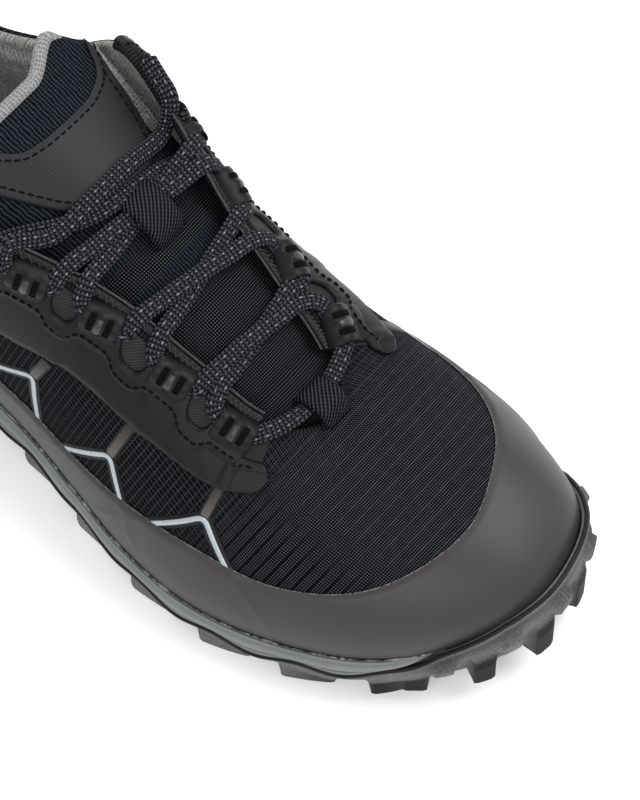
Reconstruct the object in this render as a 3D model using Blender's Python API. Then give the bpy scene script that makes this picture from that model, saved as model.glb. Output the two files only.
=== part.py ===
"""Low hiking shoe for the right foot, built as the pieces that a maker puts together.

Sizes are in millimetres and meshes in metres, +Z up. The toe points along +X, the outer
(lateral) side of the foot is -Y, and the origin is on the floor under the middle of the sole.
"""

from collections import namedtuple

import bmesh
import bpy
import numpy as np

MM = 0.001
GAP = 0.3                # clearance between pieces that are glued or sewn together
ORIGIN = (143.5, -0.34)  # the frame's origin, counted from the heel end of the foot line

# Upper
WALL = 2.2               # mesh, foam and lining together
COLLAR_PAD = 5.5         # extra foam round the ankle
RAND = 1.1               # film that is welded round the foot
STAY = 1.2               # reinforcement under the laces
PANEL = 1.0              # smooth patch on the tongue

# Sole
LUGS = 26                # blocks round the edge of the tread
LUG_DEPTH = 4.5
PLATE = 2.5              # outsole rubber between lugs and midsole
LIP = 2.4                # outsole rubber that turns up round the midsole
RIM = 3.0                # midsole ledge outside the foot line
INSOLE = 3.5

# Laces
LACE_WIDTH = 5.0
LACE_THICK = 2.2
LOOP_WIDTH = 9.5         # webbing loop that carries the lace
LOOP_THICK = 1.3
LOOP_RISE = 4.0          # room under a loop for the lace

POINTS = 3 * LUGS        # mesh columns round the shoe: two for each lug and one for its gap

# Sections round the shoe, from the heel along the lateral side to the toe and back.
# foot: where the wall meets the sole.  top: the edge of the collar or throat.
# rise, lean: how far the wall goes up and outwards from the foot before it turns in.
# out, drop: how far the wall runs outwards and down from the top edge.
# band: height of the rand.  stay: depth of the eyestay or collar facing.
# lip: height of the outsole's edge above the foot line.  flare: spread of the tread.
Section = namedtuple(
    "Section",
    "name foot_x foot_y top_x top_y top_z rise lean out drop band stay lip flare",
)
SECTIONS = [
    Section("heel back", 0, 0, 5, 0, 91, 26, 7, 4, 18, 36, 22, -15, 5.5),
    Section("lateral heel corner", 9, -22.5, 14, -21.5, 86, 24, 6, 5, 18, 34, 22, -15, 4.5),
    Section("lateral heel side", 28, -34, 31, -31.5, 76, 22, 4, 5, 16, 29, 22, -14, 3.5),
    Section("lateral ankle", 60, -36.5, 58, -36, 69, 18, 3, 5, 14, 24, 20, -13, 2.8),
    Section("lateral quarter", 95, -36, 90, -38.5, 82, 20, 4, 5, 18, 25, 24, -11, 2.4),
    Section("lateral top eyelet", 120, -37.8, 113, -35.5, 102, 22, 5, 10, 24, 26, 30, -9, 2.4),
    Section("lateral row 4", 139, -40, 137, -27, 95.5, 21, 5, 15, 20, 24, 30, -7.5, 2.6),
    Section("lateral row 3", 160, -44.2, 158, -20.8, 87.5, 20, 4, 19, 17, 22, 30, -6.5, 2.8),
    Section("lateral row 2", 181, -48.3, 180, -17.8, 77, 19, 4, 20, 13, 24, 28, -5.5, 3),
    Section("lateral row 1", 205, -49.8, 201, -15, 66.5, 17, 4, 20, 8, 25, 22, -5.5, 3),
    Section("lateral vamp", 233, -44.3, 211, -8, 62.7, 16, 4, 24, 5, 22.3, 12, -6, 3),
    Section("lateral toe", 264, -29, 215, -2, 61.5, 16, 4, 34, 5, 25.5, 8, -4.5, 3.6),
    Section("toe tip", 288, 9, 216, 3, 61.3, 16, 4, 44, 6, 34.5, 8, 6.5, 4),
    Section("medial toe", 280.5, 33, 215, 7.5, 61.5, 17, 4, 40, 5, 37, 8, 5, 3.4),
    Section("medial vamp", 254, 46.5, 210.5, 14, 62.7, 17, 5, 28, 4, 29, 12, -4.5, 3.2),
    Section("medial row 1", 214, 48, 201, 20.5, 66.5, 19, 5, 21, 7, 22, 22, -6, 3),
    Section("medial row 2", 186, 41.5, 180, 24, 77, 21, 6, 18, 12, 22, 28, -5.5, 3),
    Section("medial row 3", 163, 33.5, 158, 27.3, 87.8, 24, 8, 14, 18, 22, 30, -6.5, 2.8),
    Section("medial row 4", 141, 29.5, 137, 32.5, 98.5, 26, 9, 9, 22, 23, 30, -7.5, 2.6),
    Section("medial top eyelet", 121, 29.2, 114, 38, 107, 28, 10, 6.5, 25, 24, 30, -9, 2.4),
    Section("medial quarter", 95, 31.7, 90, 39, 86, 22, 6, 4, 18, 24, 24, -11, 2.4),
    Section("medial ankle", 60, 35.5, 58, 34.5, 71.5, 18, 3, 5, 14, 24, 20, -13, 2.8),
    Section("medial heel side", 28, 34, 31, 31, 77, 22, 4, 5, 16, 29, 22, -14, 3.5),
    Section("medial heel corner", 9, 22.5, 14, 21.5, 86, 24, 6, 5, 18, 34, 22, -15, 4.5),
]
NAMES = [section.name for section in SECTIONS]
TOE = NAMES.index("toe tip")
LACE_ROWS = ["row 1", "row 2", "row 3", "row 4", "top eyelet"]

# Height of the foot line and of the tread's underside along the shoe
Profile = namedtuple("Profile", "x z")
FOOT_LINE = [
    Profile(0, 26.5), Profile(71, 24), Profile(142, 18.5), Profile(185, 14.5),
    Profile(214, 15.5), Profile(242, 18.8), Profile(266, 23.5), Profile(290, 32),
]
TREAD = [
    Profile(-8, 5), Profile(10, 1), Profile(26, 0), Profile(86, 0), Profile(104, 3),
    Profile(126, 3), Profile(148, 0), Profile(222, 0), Profile(246, 2), Profile(268, 5),
    Profile(298, 12),
]
SPINE_ENDS = (36, 248)   # the middle of the tread stops this far from heel and toe
TREAD_RINGS = (0.32, 0.44, 0.82)   # edge lugs, groove and inner lugs, from edge to spine

# Tongue, from its end under the vamp to its free end: middle of the upper face and its cut
Tongue = namedtuple("Tongue", "x y z half crown thick")
TONGUE = [
    Tongue(227, 3, 53, 16, 4, 3.5),
    Tongue(213, 3, 58.3, 19, 5, 4.5),
    Tongue(201, 2.8, 65.3, 22, 7, 5),
    Tongue(180, 3, 77.5, 26.6, 10, 6),
    Tongue(158, 3, 88.8, 27.9, 10.5, 6.5),
    Tongue(137, 2.2, 98.8, 29.7, 11, 7),
    Tongue(113, 1.5, 110, 32, 11.5, 7.5),
    Tongue(98, 1, 118, 31.5, 10, 6.5),
]
TONGUE_PANEL = (0.74, 0.94)   # the smooth patch, as shares of the tongue's length
TONGUE_LOOP = 0.648           # the webbing loop that keeps the tongue in place


# Shape functions

def hermite(knots, values, at):
    """A smooth curve through the values."""
    knots = np.asarray(knots, float)
    values = np.asarray(values, float)
    at = np.asarray(at, float)
    slopes = np.gradient(values, knots)
    i = np.clip(np.searchsorted(knots, at, side="right") - 1, 0, len(knots) - 2)
    step = knots[i + 1] - knots[i]
    s = (at - knots[i]) / step
    start = (1 + 2 * s) * (1 - s) ** 2 * values[i] + s * (1 - s) ** 2 * step * slopes[i]
    end = s * s * (3 - 2 * s) * values[i + 1] - s * s * (1 - s) * step * slopes[i + 1]
    return start + end


def foot_line(x):
    first, last = FOOT_LINE[0].x, FOOT_LINE[-1].x
    return hermite([p.x for p in FOOT_LINE], [p.z for p in FOOT_LINE], np.clip(x, first, last))


def tread(x):
    return np.interp(x, [p.x for p in TREAD], [p.z for p in TREAD])


def section_places():
    """Place of each section round the shoe: 0 at the heel, 0.5 at the toe, 1 at the heel again."""
    ring = SECTIONS + SECTIONS[:1]
    foot = np.array([(s.foot_x, s.foot_y) for s in ring], float)
    run = np.concatenate([[0], np.cumsum(np.linalg.norm(np.diff(foot, axis=0), axis=1))])
    lateral = 0.5 * run / run[TOE]
    medial = 0.5 + 0.5 * (run - run[TOE]) / (run[-1] - run[TOE])
    return np.where(run <= run[TOE], lateral, medial)


PLACES = section_places()


def column(name, t):
    """One column of the section table, read smoothly at place t round the shoe."""
    values = [getattr(s, name) for s in SECTIONS]
    places = np.concatenate([PLACES[-4:-1] - 1, PLACES, PLACES[1:4] + 1])
    values = np.concatenate([values[-3:], values, values[:4]])
    return hermite(places, values, np.mod(t, 1))


def unit(vectors):
    return vectors / np.maximum(np.linalg.norm(vectors, axis=-1, keepdims=True), 1e-9)


def outward(t):
    """Level direction away from the foot outline."""
    step = 1e-4
    along_x = column("foot_x", t + step) - column("foot_x", t - step)
    along_y = column("foot_y", t + step) - column("foot_y", t - step)
    return unit(np.stack([along_y, -along_x, np.zeros_like(along_x)], -1))


def foot(t, offset=0.0):
    """Point of the foot outline, moved outwards by offset, on the foot line."""
    outline = np.stack([column("foot_x", t), column("foot_y", t), np.zeros_like(t)], -1)
    outline = outline + outward(t) * np.asarray(offset, float)[..., None]
    outline[..., 2] = foot_line(outline[..., 0])
    return outline


def skin(t, v):
    """Point of the upper's outside, v from 0 at the sole to 1 at the top edge."""
    t, v = np.broadcast_arrays(np.asarray(t, float), np.asarray(v, float))
    low = foot(t)
    low[..., 2] += GAP
    top = np.stack([column("top_x", t), column("top_y", t), column("top_z", t)], -1)
    side = outward(t)
    span = (low - top) * (1, 1, 0)
    reach = np.linalg.norm(span, axis=-1, keepdims=True)
    slanted = np.clip((reach - 6) / 12, 0, 1)
    away = unit(side * (1 - slanted) + unit(span) * slanted)
    rise = low + side * column("lean", t)[..., None]
    rise[..., 2] += column("rise", t)
    turn = top + away * column("out", t)[..., None]
    turn[..., 2] -= column("drop", t)
    v = v[..., None]
    return (
        (1 - v) ** 3 * low
        + 3 * v * (1 - v) ** 2 * rise
        + 3 * v * v * (1 - v) * turn
        + v ** 3 * top
    )


def skin_normal(t, v):
    step = 1e-3
    v = np.clip(v, step, 1 - step)
    round_shoe = skin(t + step, v) - skin(t - step, v)
    up_wall = skin(t, v + step) - skin(t, v - step)
    return unit(np.cross(round_shoe, up_wall))


def wall_lengths(t, samples=61):
    """Heights up the wall, measured along the skin, at evenly spread values of v."""
    v = np.linspace(0, 1, samples)
    points = skin(t[:, None], v[None, :])
    steps = np.linalg.norm(np.diff(points, axis=1), axis=2)
    return v, np.concatenate([np.zeros((len(t), 1)), np.cumsum(steps, axis=1)], axis=1)


def climb(t, heights):
    """Values of v at these heights up the wall, one row of heights for each t."""
    v, lengths = wall_lengths(t)
    return np.array([np.interp(h, run, v) for h, run in zip(heights, lengths)])


def wall_rows(t):
    """v of the mesh rows: sole edge, rand, side, eyestay or collar, top edge."""
    total = wall_lengths(t)[1][:, -1]
    band, stay = column("band", t), column("stay", t)
    rows = [band * share for share in (0, 0.22, 0.55, 1)]
    rows.append((band + total - stay) / 2)
    rows += [total - stay * share for share in (1, 0.55, 0.2, 0)]
    return climb(t, np.stack(rows, axis=1))


RAND_ROWS = 4            # rows of the wall that the rand covers, from the sole
STAY_ROWS = 4            # rows that the eyestay covers, from the top edge


def off_skin(t, v, height):
    """Points at a height above the skin."""
    return skin(t, v) + skin_normal(t, v) * np.asarray(height, float)[..., None]


def level_foot(points, t, offset):
    """Puts the lowest row on the sole, straight out from the foot outline."""
    points[:, 0] = foot(t, np.full_like(t, offset))
    points[:, 0, 2] += GAP
    return points


# Mesh functions

def new_object(name, bm, colour, roughness, metallic=0.0):
    """A named object with its own material, moved into the shared frame."""
    bmesh.ops.recalc_face_normals(bm, faces=bm.faces)
    bmesh.ops.translate(bm, verts=bm.verts, vec=(-ORIGIN[0] * MM, -ORIGIN[1] * MM, 0))
    mesh = bpy.data.meshes.new(name)
    bm.to_mesh(mesh)
    bm.free()
    mesh.shade_smooth()
    mesh.set_sharp_from_angle(angle=np.radians(40))
    material = bpy.data.materials.new(name)
    material.use_nodes = True
    shader = material.node_tree.nodes["Principled BSDF"]
    shader.inputs["Base Color"].default_value = (*colour, 1)
    shader.inputs["Roughness"].default_value = roughness
    shader.inputs["Metallic"].default_value = metallic
    mesh.materials.append(material)
    obj = bpy.data.objects.new(name, mesh)
    bpy.context.scene.collection.objects.link(obj)
    return obj


def add_points(bm, points):
    return [bm.verts.new(p) for p in np.asarray(points) * MM]


def add_quad(bm, a, b, c, d):
    """Two triangles that share the diagonal from a to c."""
    return [bm.faces.new((a, b, c)), bm.faces.new((a, c, d))]


def bridge(bm, lower, upper, closed=True):
    """Triangles between two rows of points. Gives the faces column by column."""
    count = len(lower) if closed else len(lower) - 1
    faces = []
    for i in range(count):
        k = (i + 1) % len(lower)
        faces.append(add_quad(bm, lower[i], lower[k], upper[k], upper[i]))
    return faces


def ladder(bm, ring):
    """Fills a ring that starts at the heel with rungs from its lateral to its medial side."""
    count = len(ring)
    toe = count // 2
    bm.faces.new((ring[0], ring[1], ring[-1]))
    for i in range(1, toe - 1):
        add_quad(bm, ring[i], ring[i + 1], ring[count - i - 1], ring[count - i])
    bm.faces.new((ring[toe - 1], ring[toe], ring[toe + 1]))


def shell(outer, inner, closed):
    """A thin wall between two grids of points, columns first."""
    bm = bmesh.new()
    faces = []
    for grid in (outer, inner):
        rows = [add_points(bm, grid[:, j]) for j in range(grid.shape[1])]
        for low, high in zip(rows, rows[1:]):
            bridge(bm, low, high, closed)
        faces.append(rows)
    out, inn = faces
    bridge(bm, inn[0], out[0], closed)
    bridge(bm, out[-1], inn[-1], closed)
    if not closed:
        for end in (0, -1):
            bridge(bm, [row[end] for row in inn], [row[end] for row in out], closed=False)
    return bm


def stack(rings):
    """A solid from rings of points, filled at both ends."""
    bm = bmesh.new()
    rows = [add_points(bm, ring) for ring in rings]
    for low, high in zip(rows, rows[1:]):
        bridge(bm, low, high)
    ladder(bm, rows[0])
    ladder(bm, rows[-1])
    return bm


def sweep(path, across, profile):
    """A profile of (across, up) offsets carried along a path, with flat ends."""
    along = unit(np.gradient(path, axis=0))
    across = unit(across - along * (across * along).sum(-1, keepdims=True))
    up = np.cross(along, across)
    bm = bmesh.new()
    rings = []
    for i in range(len(path)):
        ring = [path[i] + across[i] * a + up[i] * b for a, b in profile]
        rings.append(add_points(bm, ring))
    for one, two in zip(rings, rings[1:]):
        bridge(bm, one, two)
    bm.faces.new(rings[0])
    bm.faces.new(rings[-1])
    return bm


def flat_oval(width, thick, sides=8):
    turn = (np.arange(sides) + 0.5) * 2 * np.pi / sides
    return list(zip(np.cos(turn) * width / 2, np.sin(turn) * thick / 2))


def strip(width, thick):
    return [(-width / 2, -thick / 2), (width / 2, -thick / 2), (width / 2, thick / 2), (-width / 2, thick / 2)]


# Pieces of the upper

def make_upper(t):
    v = wall_rows(t)
    outer = skin(t[:, None], v)
    ankle = 1 - np.clip((column("top_x", t) - 84) / 26, 0, 1)
    pad = np.zeros_like(v)
    pad[:, -STAY_ROWS:] = np.outer(ankle, (0.25, 1, 0.9, 0.25)) * COLLAR_PAD
    inner = off_skin(t[:, None] + 0 * v, v, -(WALL + pad))
    inner = level_foot(inner, t, -WALL)
    return new_object("upper", shell(outer, inner, closed=True), (0.012, 0.013, 0.016), 0.85)


def make_rand(t):
    v = wall_rows(t)[:, :RAND_ROWS]
    thickness = np.broadcast_to((RAND, RAND, RAND, 0.6 * RAND), v.shape)
    columns = t[:, None] + 0 * v
    inner = level_foot(off_skin(columns, v, 0 * v + GAP), t, GAP)
    outer = level_foot(off_skin(columns, v, GAP + thickness), t, GAP + RAND)
    return new_object("rand", shell(outer, inner, closed=True), (0.085, 0.08, 0.078), 0.5)


def make_eyestay(side, t):
    """The smooth reinforcement beside the throat, from the vamp to just behind the top eyelet."""
    front, top, quarter = [PLACES[NAMES.index(f"{side} {name}")] for name in ("vamp", "top eyelet", "quarter")]
    low, high = sorted((front, top + (quarter - top) * 0.45))
    t = t[(t > low) & (t < high)]
    v = wall_rows(t)[:, -STAY_ROWS:]
    columns = t[:, None] + 0 * v
    inner = off_skin(columns, v, 0 * v + GAP)
    outer = off_skin(columns, v, 0 * v + GAP + STAY)
    return new_object(f"eyestay_{side}", shell(outer, inner, closed=False), (0.02, 0.02, 0.021), 0.55)


# Pieces of the tongue

def tongue_face(s, c):
    """Upper face of the tongue, s from the vamp to the free end and c across it."""
    s, c = np.broadcast_arrays(np.asarray(s, float), np.asarray(c, float))
    knots = np.linspace(0, 1, len(TONGUE))
    read = {n: hermite(knots, [getattr(r, n) for r in TONGUE], s) for n in Tongue._fields}
    step = 1e-3
    ahead, behind = np.clip(s + step, 0, 1), np.clip(s - step, 0, 1)
    dx = hermite(knots, [r.x for r in TONGUE], ahead) - hermite(knots, [r.x for r in TONGUE], behind)
    dz = hermite(knots, [r.z for r in TONGUE], ahead) - hermite(knots, [r.z for r in TONGUE], behind)
    up = unit(np.stack([dz, 0 * dx, -dx], -1))
    middle = np.stack([read["x"], read["y"] + c * read["half"], read["z"]], -1)
    return middle - up * (read["crown"] * c * c)[..., None], up, read["thick"]


def tongue_shell(s, c, lift, thickness=None):
    """A slab on the tongue's face, or the tongue itself where no thickness is given."""
    face, up, thick = tongue_face(s[:, None], c[None, :])
    if thickness is None:
        edge = 1 - 0.6 * np.abs(c[None, :]) ** 4
        return shell(face, face - up * (thick * edge)[..., None], closed=False)
    return shell(face + up * (lift + thickness), face + up * lift, closed=False)


def make_tongue():
    s = np.linspace(0, 1, 17)
    c = np.linspace(-1, 1, 9)
    tongue_object = new_object("tongue", tongue_shell(s, c, 0), (0.016, 0.017, 0.02), 0.85)
    s = np.linspace(*TONGUE_PANEL, 5)
    panel = tongue_shell(s, c * 0.9, GAP, thickness=PANEL)
    new_object("tongue_panel", panel, (0.03, 0.03, 0.032), 0.55)
    return tongue_object


def make_tongue_loop():
    """Webbing sewn across the tongue, with room for the lace under it."""
    s = TONGUE_LOOP + np.array([-0.08, -0.05, 0, 0.05, 0.08])
    face, up, _ = tongue_face(s, 0 * s)
    lift = GAP + LOOP_THICK / 2 + LOOP_RISE * np.array([0, 1.3, 1.5, 1.3, 0])
    across = np.broadcast_to((0.0, 1.0, 0.0), face.shape)
    bm = sweep(face + up * lift[:, None], across, strip(14, LOOP_THICK))
    new_object("tongue_loop", bm, (0.012, 0.012, 0.014), 0.8)


def make_vamp_loop():
    """Webbing at the foot of the throat that holds the middle of the lace."""
    toe = np.full(5, PLACES[TOE])
    total = wall_lengths(toe)[1][:, -1]
    back = np.array([8.0, 4.5, 0.0, -6.0, -11.0])
    v = climb(toe, np.clip(total - back, 0, total)[:, None])[:, 0]
    path = skin(toe, v)
    path[:, 0] += np.minimum(back, 0)
    lift = GAP + LOOP_THICK / 2 + LOOP_RISE * np.array([0, 0.9, 1.75, 2.15, 2.0])
    path[:, 2] += lift
    across = np.broadcast_to((0.0, 1.0, 0.0), path.shape)
    new_object("vamp_loop", sweep(path, across, strip(11, LOOP_THICK)), (0.012, 0.012, 0.014), 0.8)


# Laces and the loops that carry them

def row_place(side, row):
    return PLACES[NAMES.index(f"{side} {row}")]


def stay_point(t, back, lift):
    """A point above the eyestay, back from its top edge, and the way out from the skin there."""
    t = np.array([t], float)
    total = wall_lengths(t)[1][:, -1]
    v = climb(t, (total - back)[:, None])[:, 0]
    normal = skin_normal(t, v)[0]
    return skin(t, v)[0] + normal * (GAP + STAY + lift), normal


def make_lace_loop(side, row, number):
    t = row_place(side, row)
    back = (12, 10, 7.5, 5, 2.6, 1)
    lift = 2.5 * GAP + LOOP_THICK / 2 + LOOP_RISE * np.array([0, 0.55, 0.95, 1, 0.7, 0.15])
    path = np.array([stay_point(t, b, h)[0] for b, h in zip(back, lift)])
    across = skin(t + 1e-3, 0.95) - skin(t - 1e-3, 0.95)
    bm = sweep(path, np.broadcast_to(across, path.shape), strip(LOOP_WIDTH, LOOP_THICK))
    new_object(f"lace_loop_{side}_{number}", bm, (0.018, 0.018, 0.02), 0.6)


def lace_strand(start, end, over):
    """Flat lace from one eyestay to the other over the tongue."""
    half = LACE_THICK / 2
    (lateral, lateral_way), (medial, medial_way) = [stay_point(t, 6, GAP + half + 0.2) for t in (start, end)]
    (edge_1, way_1), (edge_2, way_2) = [stay_point(t, 0, GAP + half + 0.8) for t in (start, end)]
    middle = (edge_1 + edge_2) / 2
    centre_line, up, _ = tongue_face(np.linspace(0, 1, 400), np.zeros(400))
    nearest = np.argmin(np.abs(centre_line[:, 0] - middle[0]))
    crest = centre_line[nearest] + up[nearest] * (GAP + half + 0.5 + over)
    middle[2] = max(middle[2] + over, crest[2])
    route = np.array([lateral, edge_1, middle, edge_2, medial])
    ways = np.array([lateral_way, way_1 + up[nearest], up[nearest], way_2 + up[nearest], medial_way])
    run = np.concatenate([[0], np.cumsum(np.linalg.norm(np.diff(route, axis=0), axis=1))])
    even = np.linspace(0, run[-1], 11)
    path = np.stack([hermite(run, route[:, k], even) for k in range(3)], axis=1)
    ways = np.stack([np.interp(even, run, unit(ways)[:, k]) for k in range(3)], axis=1)
    across = np.cross(ways, unit(np.gradient(path, axis=0)))
    return sweep(path, across, flat_oval(LACE_WIDTH, LACE_THICK))


LACE_COLOUR = (0.02, 0.021, 0.024)


def make_lace_bar():
    """The middle of the lace, straight across below the first loops."""
    places = []
    for side in ("lateral", "medial"):
        first, second = row_place(side, LACE_ROWS[0]), row_place(side, LACE_ROWS[1])
        places.append(first + (first - second) * 0.85)
    new_object("lace_bar", lace_strand(*places, over=0.4), LACE_COLOUR, 0.8)


def make_lace_cross(number):
    """Two strands that cross between a row of loops and the next, fused where they cross."""
    ends = {}
    for side in ("lateral", "medial"):
        low = row_place(side, LACE_ROWS[number - 1])
        high = row_place(side, LACE_ROWS[number])
        ends[side] = (low + (high - low) * 0.36, low + (high - low) * 0.66)
    over_panel = GAP + PANEL if number == len(LACE_ROWS) - 1 else 0.0
    under = lace_strand(ends["lateral"][1], ends["medial"][0], over_panel)
    above = lace_strand(ends["lateral"][0], ends["medial"][1], over_panel + 1.5)
    crossing = new_object(f"lace_cross_{number}", under, LACE_COLOUR, 0.8)
    helper = new_object(f"lace_cross_{number}_upper_strand", above, LACE_COLOUR, 0.8)
    helper.hide_render = True
    helper.display_type = "WIRE"
    join = crossing.modifiers.new("join", "BOOLEAN")
    join.operation = "UNION"
    join.object = helper


# Sole

def sole_sizes(t):
    """Outsole edge above the foot line with its scallops, and how far it wraps the toe."""
    lip = column("lip", t)
    wrap = np.clip((lip + 5) / 4, 0, 1)
    scallop = 1.1 * np.cos(2 * np.pi * (LUGS * t - 0.2)) * (1 - wrap)
    return lip + scallop, wrap * wrap * (3 - 2 * wrap)


def sole_ring(t, offset, z=None, rise=0.0):
    """A ring at an offset from the foot outline, at height z or above the foot line."""
    ring = foot(t, np.broadcast_to(offset, t.shape))
    ring[:, 2] = ring[:, 2] + rise if z is None else z(ring[:, 0])
    return ring


def plate_top(x):
    return tread(x) + LUG_DEPTH + PLATE


def make_midsole(t):
    lip, wrap = sole_sizes(t)
    rim = RIM - 2.3 * wrap
    inside = (RIM - LIP - GAP) * (1 - wrap) + 0.5 * wrap
    wall = np.minimum(lip + 2 * GAP, -1.0)
    swell = 0.8 * (1 - wrap)
    rings = [
        sole_ring(t, -WALL / 2),
        sole_ring(t, rim),
        sole_ring(t, rim + swell, rise=0.28 * wall),
        sole_ring(t, rim + 0.6 * swell, rise=0.5 * wall),
        sole_ring(t, rim - 0.5 * swell, rise=0.58 * wall),
        sole_ring(t, rim - 0.2 * swell, rise=wall),
        sole_ring(t, inside, rise=wall),
        sole_ring(t, inside - 0.6, lambda x: plate_top(x) + 2 * GAP),
        sole_ring(t, -8, lambda x: plate_top(x) + 2 * GAP),
    ]
    return new_object("midsole", stack(rings), (0.06, 0.068, 0.067), 0.6)


def make_insole(t):
    inset = -(WALL + 1.6)
    rings = [
        sole_ring(t, inset - 1.5, rise=GAP + INSOLE),
        sole_ring(t, inset, rise=GAP + 0.6 * INSOLE),
        sole_ring(t, inset, rise=GAP),
    ]
    return new_object("insole", stack(rings), (0.07, 0.07, 0.072), 0.9)


def tread_ring(edge, share):
    """A ring of the tread's underside between its edge and the spine of the sole."""
    spine = np.zeros_like(edge)
    spine[:, 0] = np.clip(edge[:, 0], *SPINE_ENDS)
    spine[:, 1] = np.interp(spine[:, 0], SPINE_ENDS, (0, 4))
    ring = edge + (spine - edge) * share
    ring[:, 2] = tread(ring[:, 0]) + LUG_DEPTH
    return ring


def pull_lug(bm, faces, spread):
    """Draws a block of rubber down from some faces of the tread to the ground curve."""
    made = bmesh.ops.extrude_face_region(bm, geom=faces)["geom"]
    bmesh.ops.delete(bm, geom=faces, context="FACES_ONLY")
    verts = [g for g in made if isinstance(g, bmesh.types.BMVert)]
    points = np.array([v.co for v in verts]) / MM
    centre = points.mean(axis=0)
    points += (points - centre) * (spread, spread, 0)
    points[:, 2] = tread(points[:, 0])
    for vert, point in zip(verts, points):
        vert.co = point * MM


def make_outsole(t):
    lip, wrap = sole_sizes(t)
    inside = (RIM - LIP) * (1 - wrap) + 1.6 * wrap
    flare = column("flare", t)
    over_rand = climb(t, np.maximum(lip, 0)[:, None])[:, 0]
    bulge = ((skin(t, over_rand) - foot(t)) * outward(t)).sum(-1)
    mouth = inside + (2 * GAP + RAND + np.maximum(bulge, 0) + 0.1 - inside) * wrap
    edge = sole_ring(t, flare, lambda x: tread(x) + LUG_DEPTH)
    rings = [
        sole_ring(t, -8, plate_top),
        sole_ring(t, inside - 0.6, plate_top),
        sole_ring(t, mouth, rise=lip),
        sole_ring(t, mouth + 0.85 * LIP, rise=lip),
        sole_ring(t, 0.5 * (mouth + LIP + flare) + 0.6, lambda x: plate_top(x) + 0.5),
        edge,
    ]
    rings += [tread_ring(edge, share) for share in TREAD_RINGS]
    bm = bmesh.new()
    rows = [add_points(bm, ring) for ring in rings]
    bands = [bridge(bm, low, high) for low, high in zip(rows, rows[1:])]
    ladder(bm, rows[0])
    ladder(bm, rows[-1])
    edge_band, inner_band = bands[-3], bands[-1]
    for lug in range(LUGS):
        first, second = 3 * lug, 3 * lug + 1
        pull_lug(bm, edge_band[first] + edge_band[second], spread=0.02)
        third = (second + 1) % POINTS
        pull_lug(bm, inner_band[second] + inner_band[third], spread=-0.06)
    return new_object("outsole", bm, (0.05, 0.05, 0.05), 0.75)


def main():
    for obj in list(bpy.data.objects):
        bpy.data.objects.remove(obj)
    t = np.arange(POINTS) / POINTS
    make_outsole(t)
    make_midsole(t)
    make_insole(t)
    make_upper(t)
    make_rand(t)
    make_eyestay("lateral", t)
    make_eyestay("medial", t)
    make_tongue()
    make_tongue_loop()
    make_vamp_loop()
    for side in ("lateral", "medial"):
        for number, row in enumerate(LACE_ROWS, start=1):
            make_lace_loop(side, row, number)
    make_lace_bar()
    for number in range(1, len(LACE_ROWS)):
        make_lace_cross(number)


main()
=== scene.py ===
"""Low hiking shoe for the right foot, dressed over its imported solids.

Shapes are worked out in millimetres on the shoemaker's last: x from the heel end to the toe, y to
the inner side of the foot, z up from the floor. ORIGIN moves them into the shared frame.
"""

from collections import namedtuple
from functools import partial

import bmesh
import bpy
import numpy as np
from mathutils import Matrix, Vector


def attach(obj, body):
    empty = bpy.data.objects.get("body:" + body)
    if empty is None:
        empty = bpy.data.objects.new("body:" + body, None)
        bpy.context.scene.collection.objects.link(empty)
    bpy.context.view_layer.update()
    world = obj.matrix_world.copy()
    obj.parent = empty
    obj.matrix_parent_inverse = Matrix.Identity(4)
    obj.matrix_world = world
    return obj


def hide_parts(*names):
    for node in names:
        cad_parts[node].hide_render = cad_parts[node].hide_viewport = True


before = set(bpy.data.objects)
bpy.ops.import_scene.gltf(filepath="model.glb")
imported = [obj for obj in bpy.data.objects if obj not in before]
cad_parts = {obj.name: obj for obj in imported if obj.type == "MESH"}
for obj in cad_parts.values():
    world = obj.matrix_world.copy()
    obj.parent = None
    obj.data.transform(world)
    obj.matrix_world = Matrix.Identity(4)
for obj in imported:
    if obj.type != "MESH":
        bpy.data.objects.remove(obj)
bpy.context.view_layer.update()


# Upper: black ripstop mesh over thin foam with a grey knit lining, padded round the ankle.
# It is one bag, pulled over the last and glued down on the midsole, so it has the last's shape,
# and every piece that is sewn or welded to it reads the same sections.

MM = 0.001
GAP = 0.3
ORIGIN = np.array((143.5, -0.34, 0.0))
WALL = 2.2
COLLAR_PAD = 5.5
ANKLE_END = (84, 110)    # between these the collar's padding thins out to nothing
ROUND = 520              # columns round the shoe
WALL_STEPS = 61          # steps up the wall for measuring it

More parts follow.
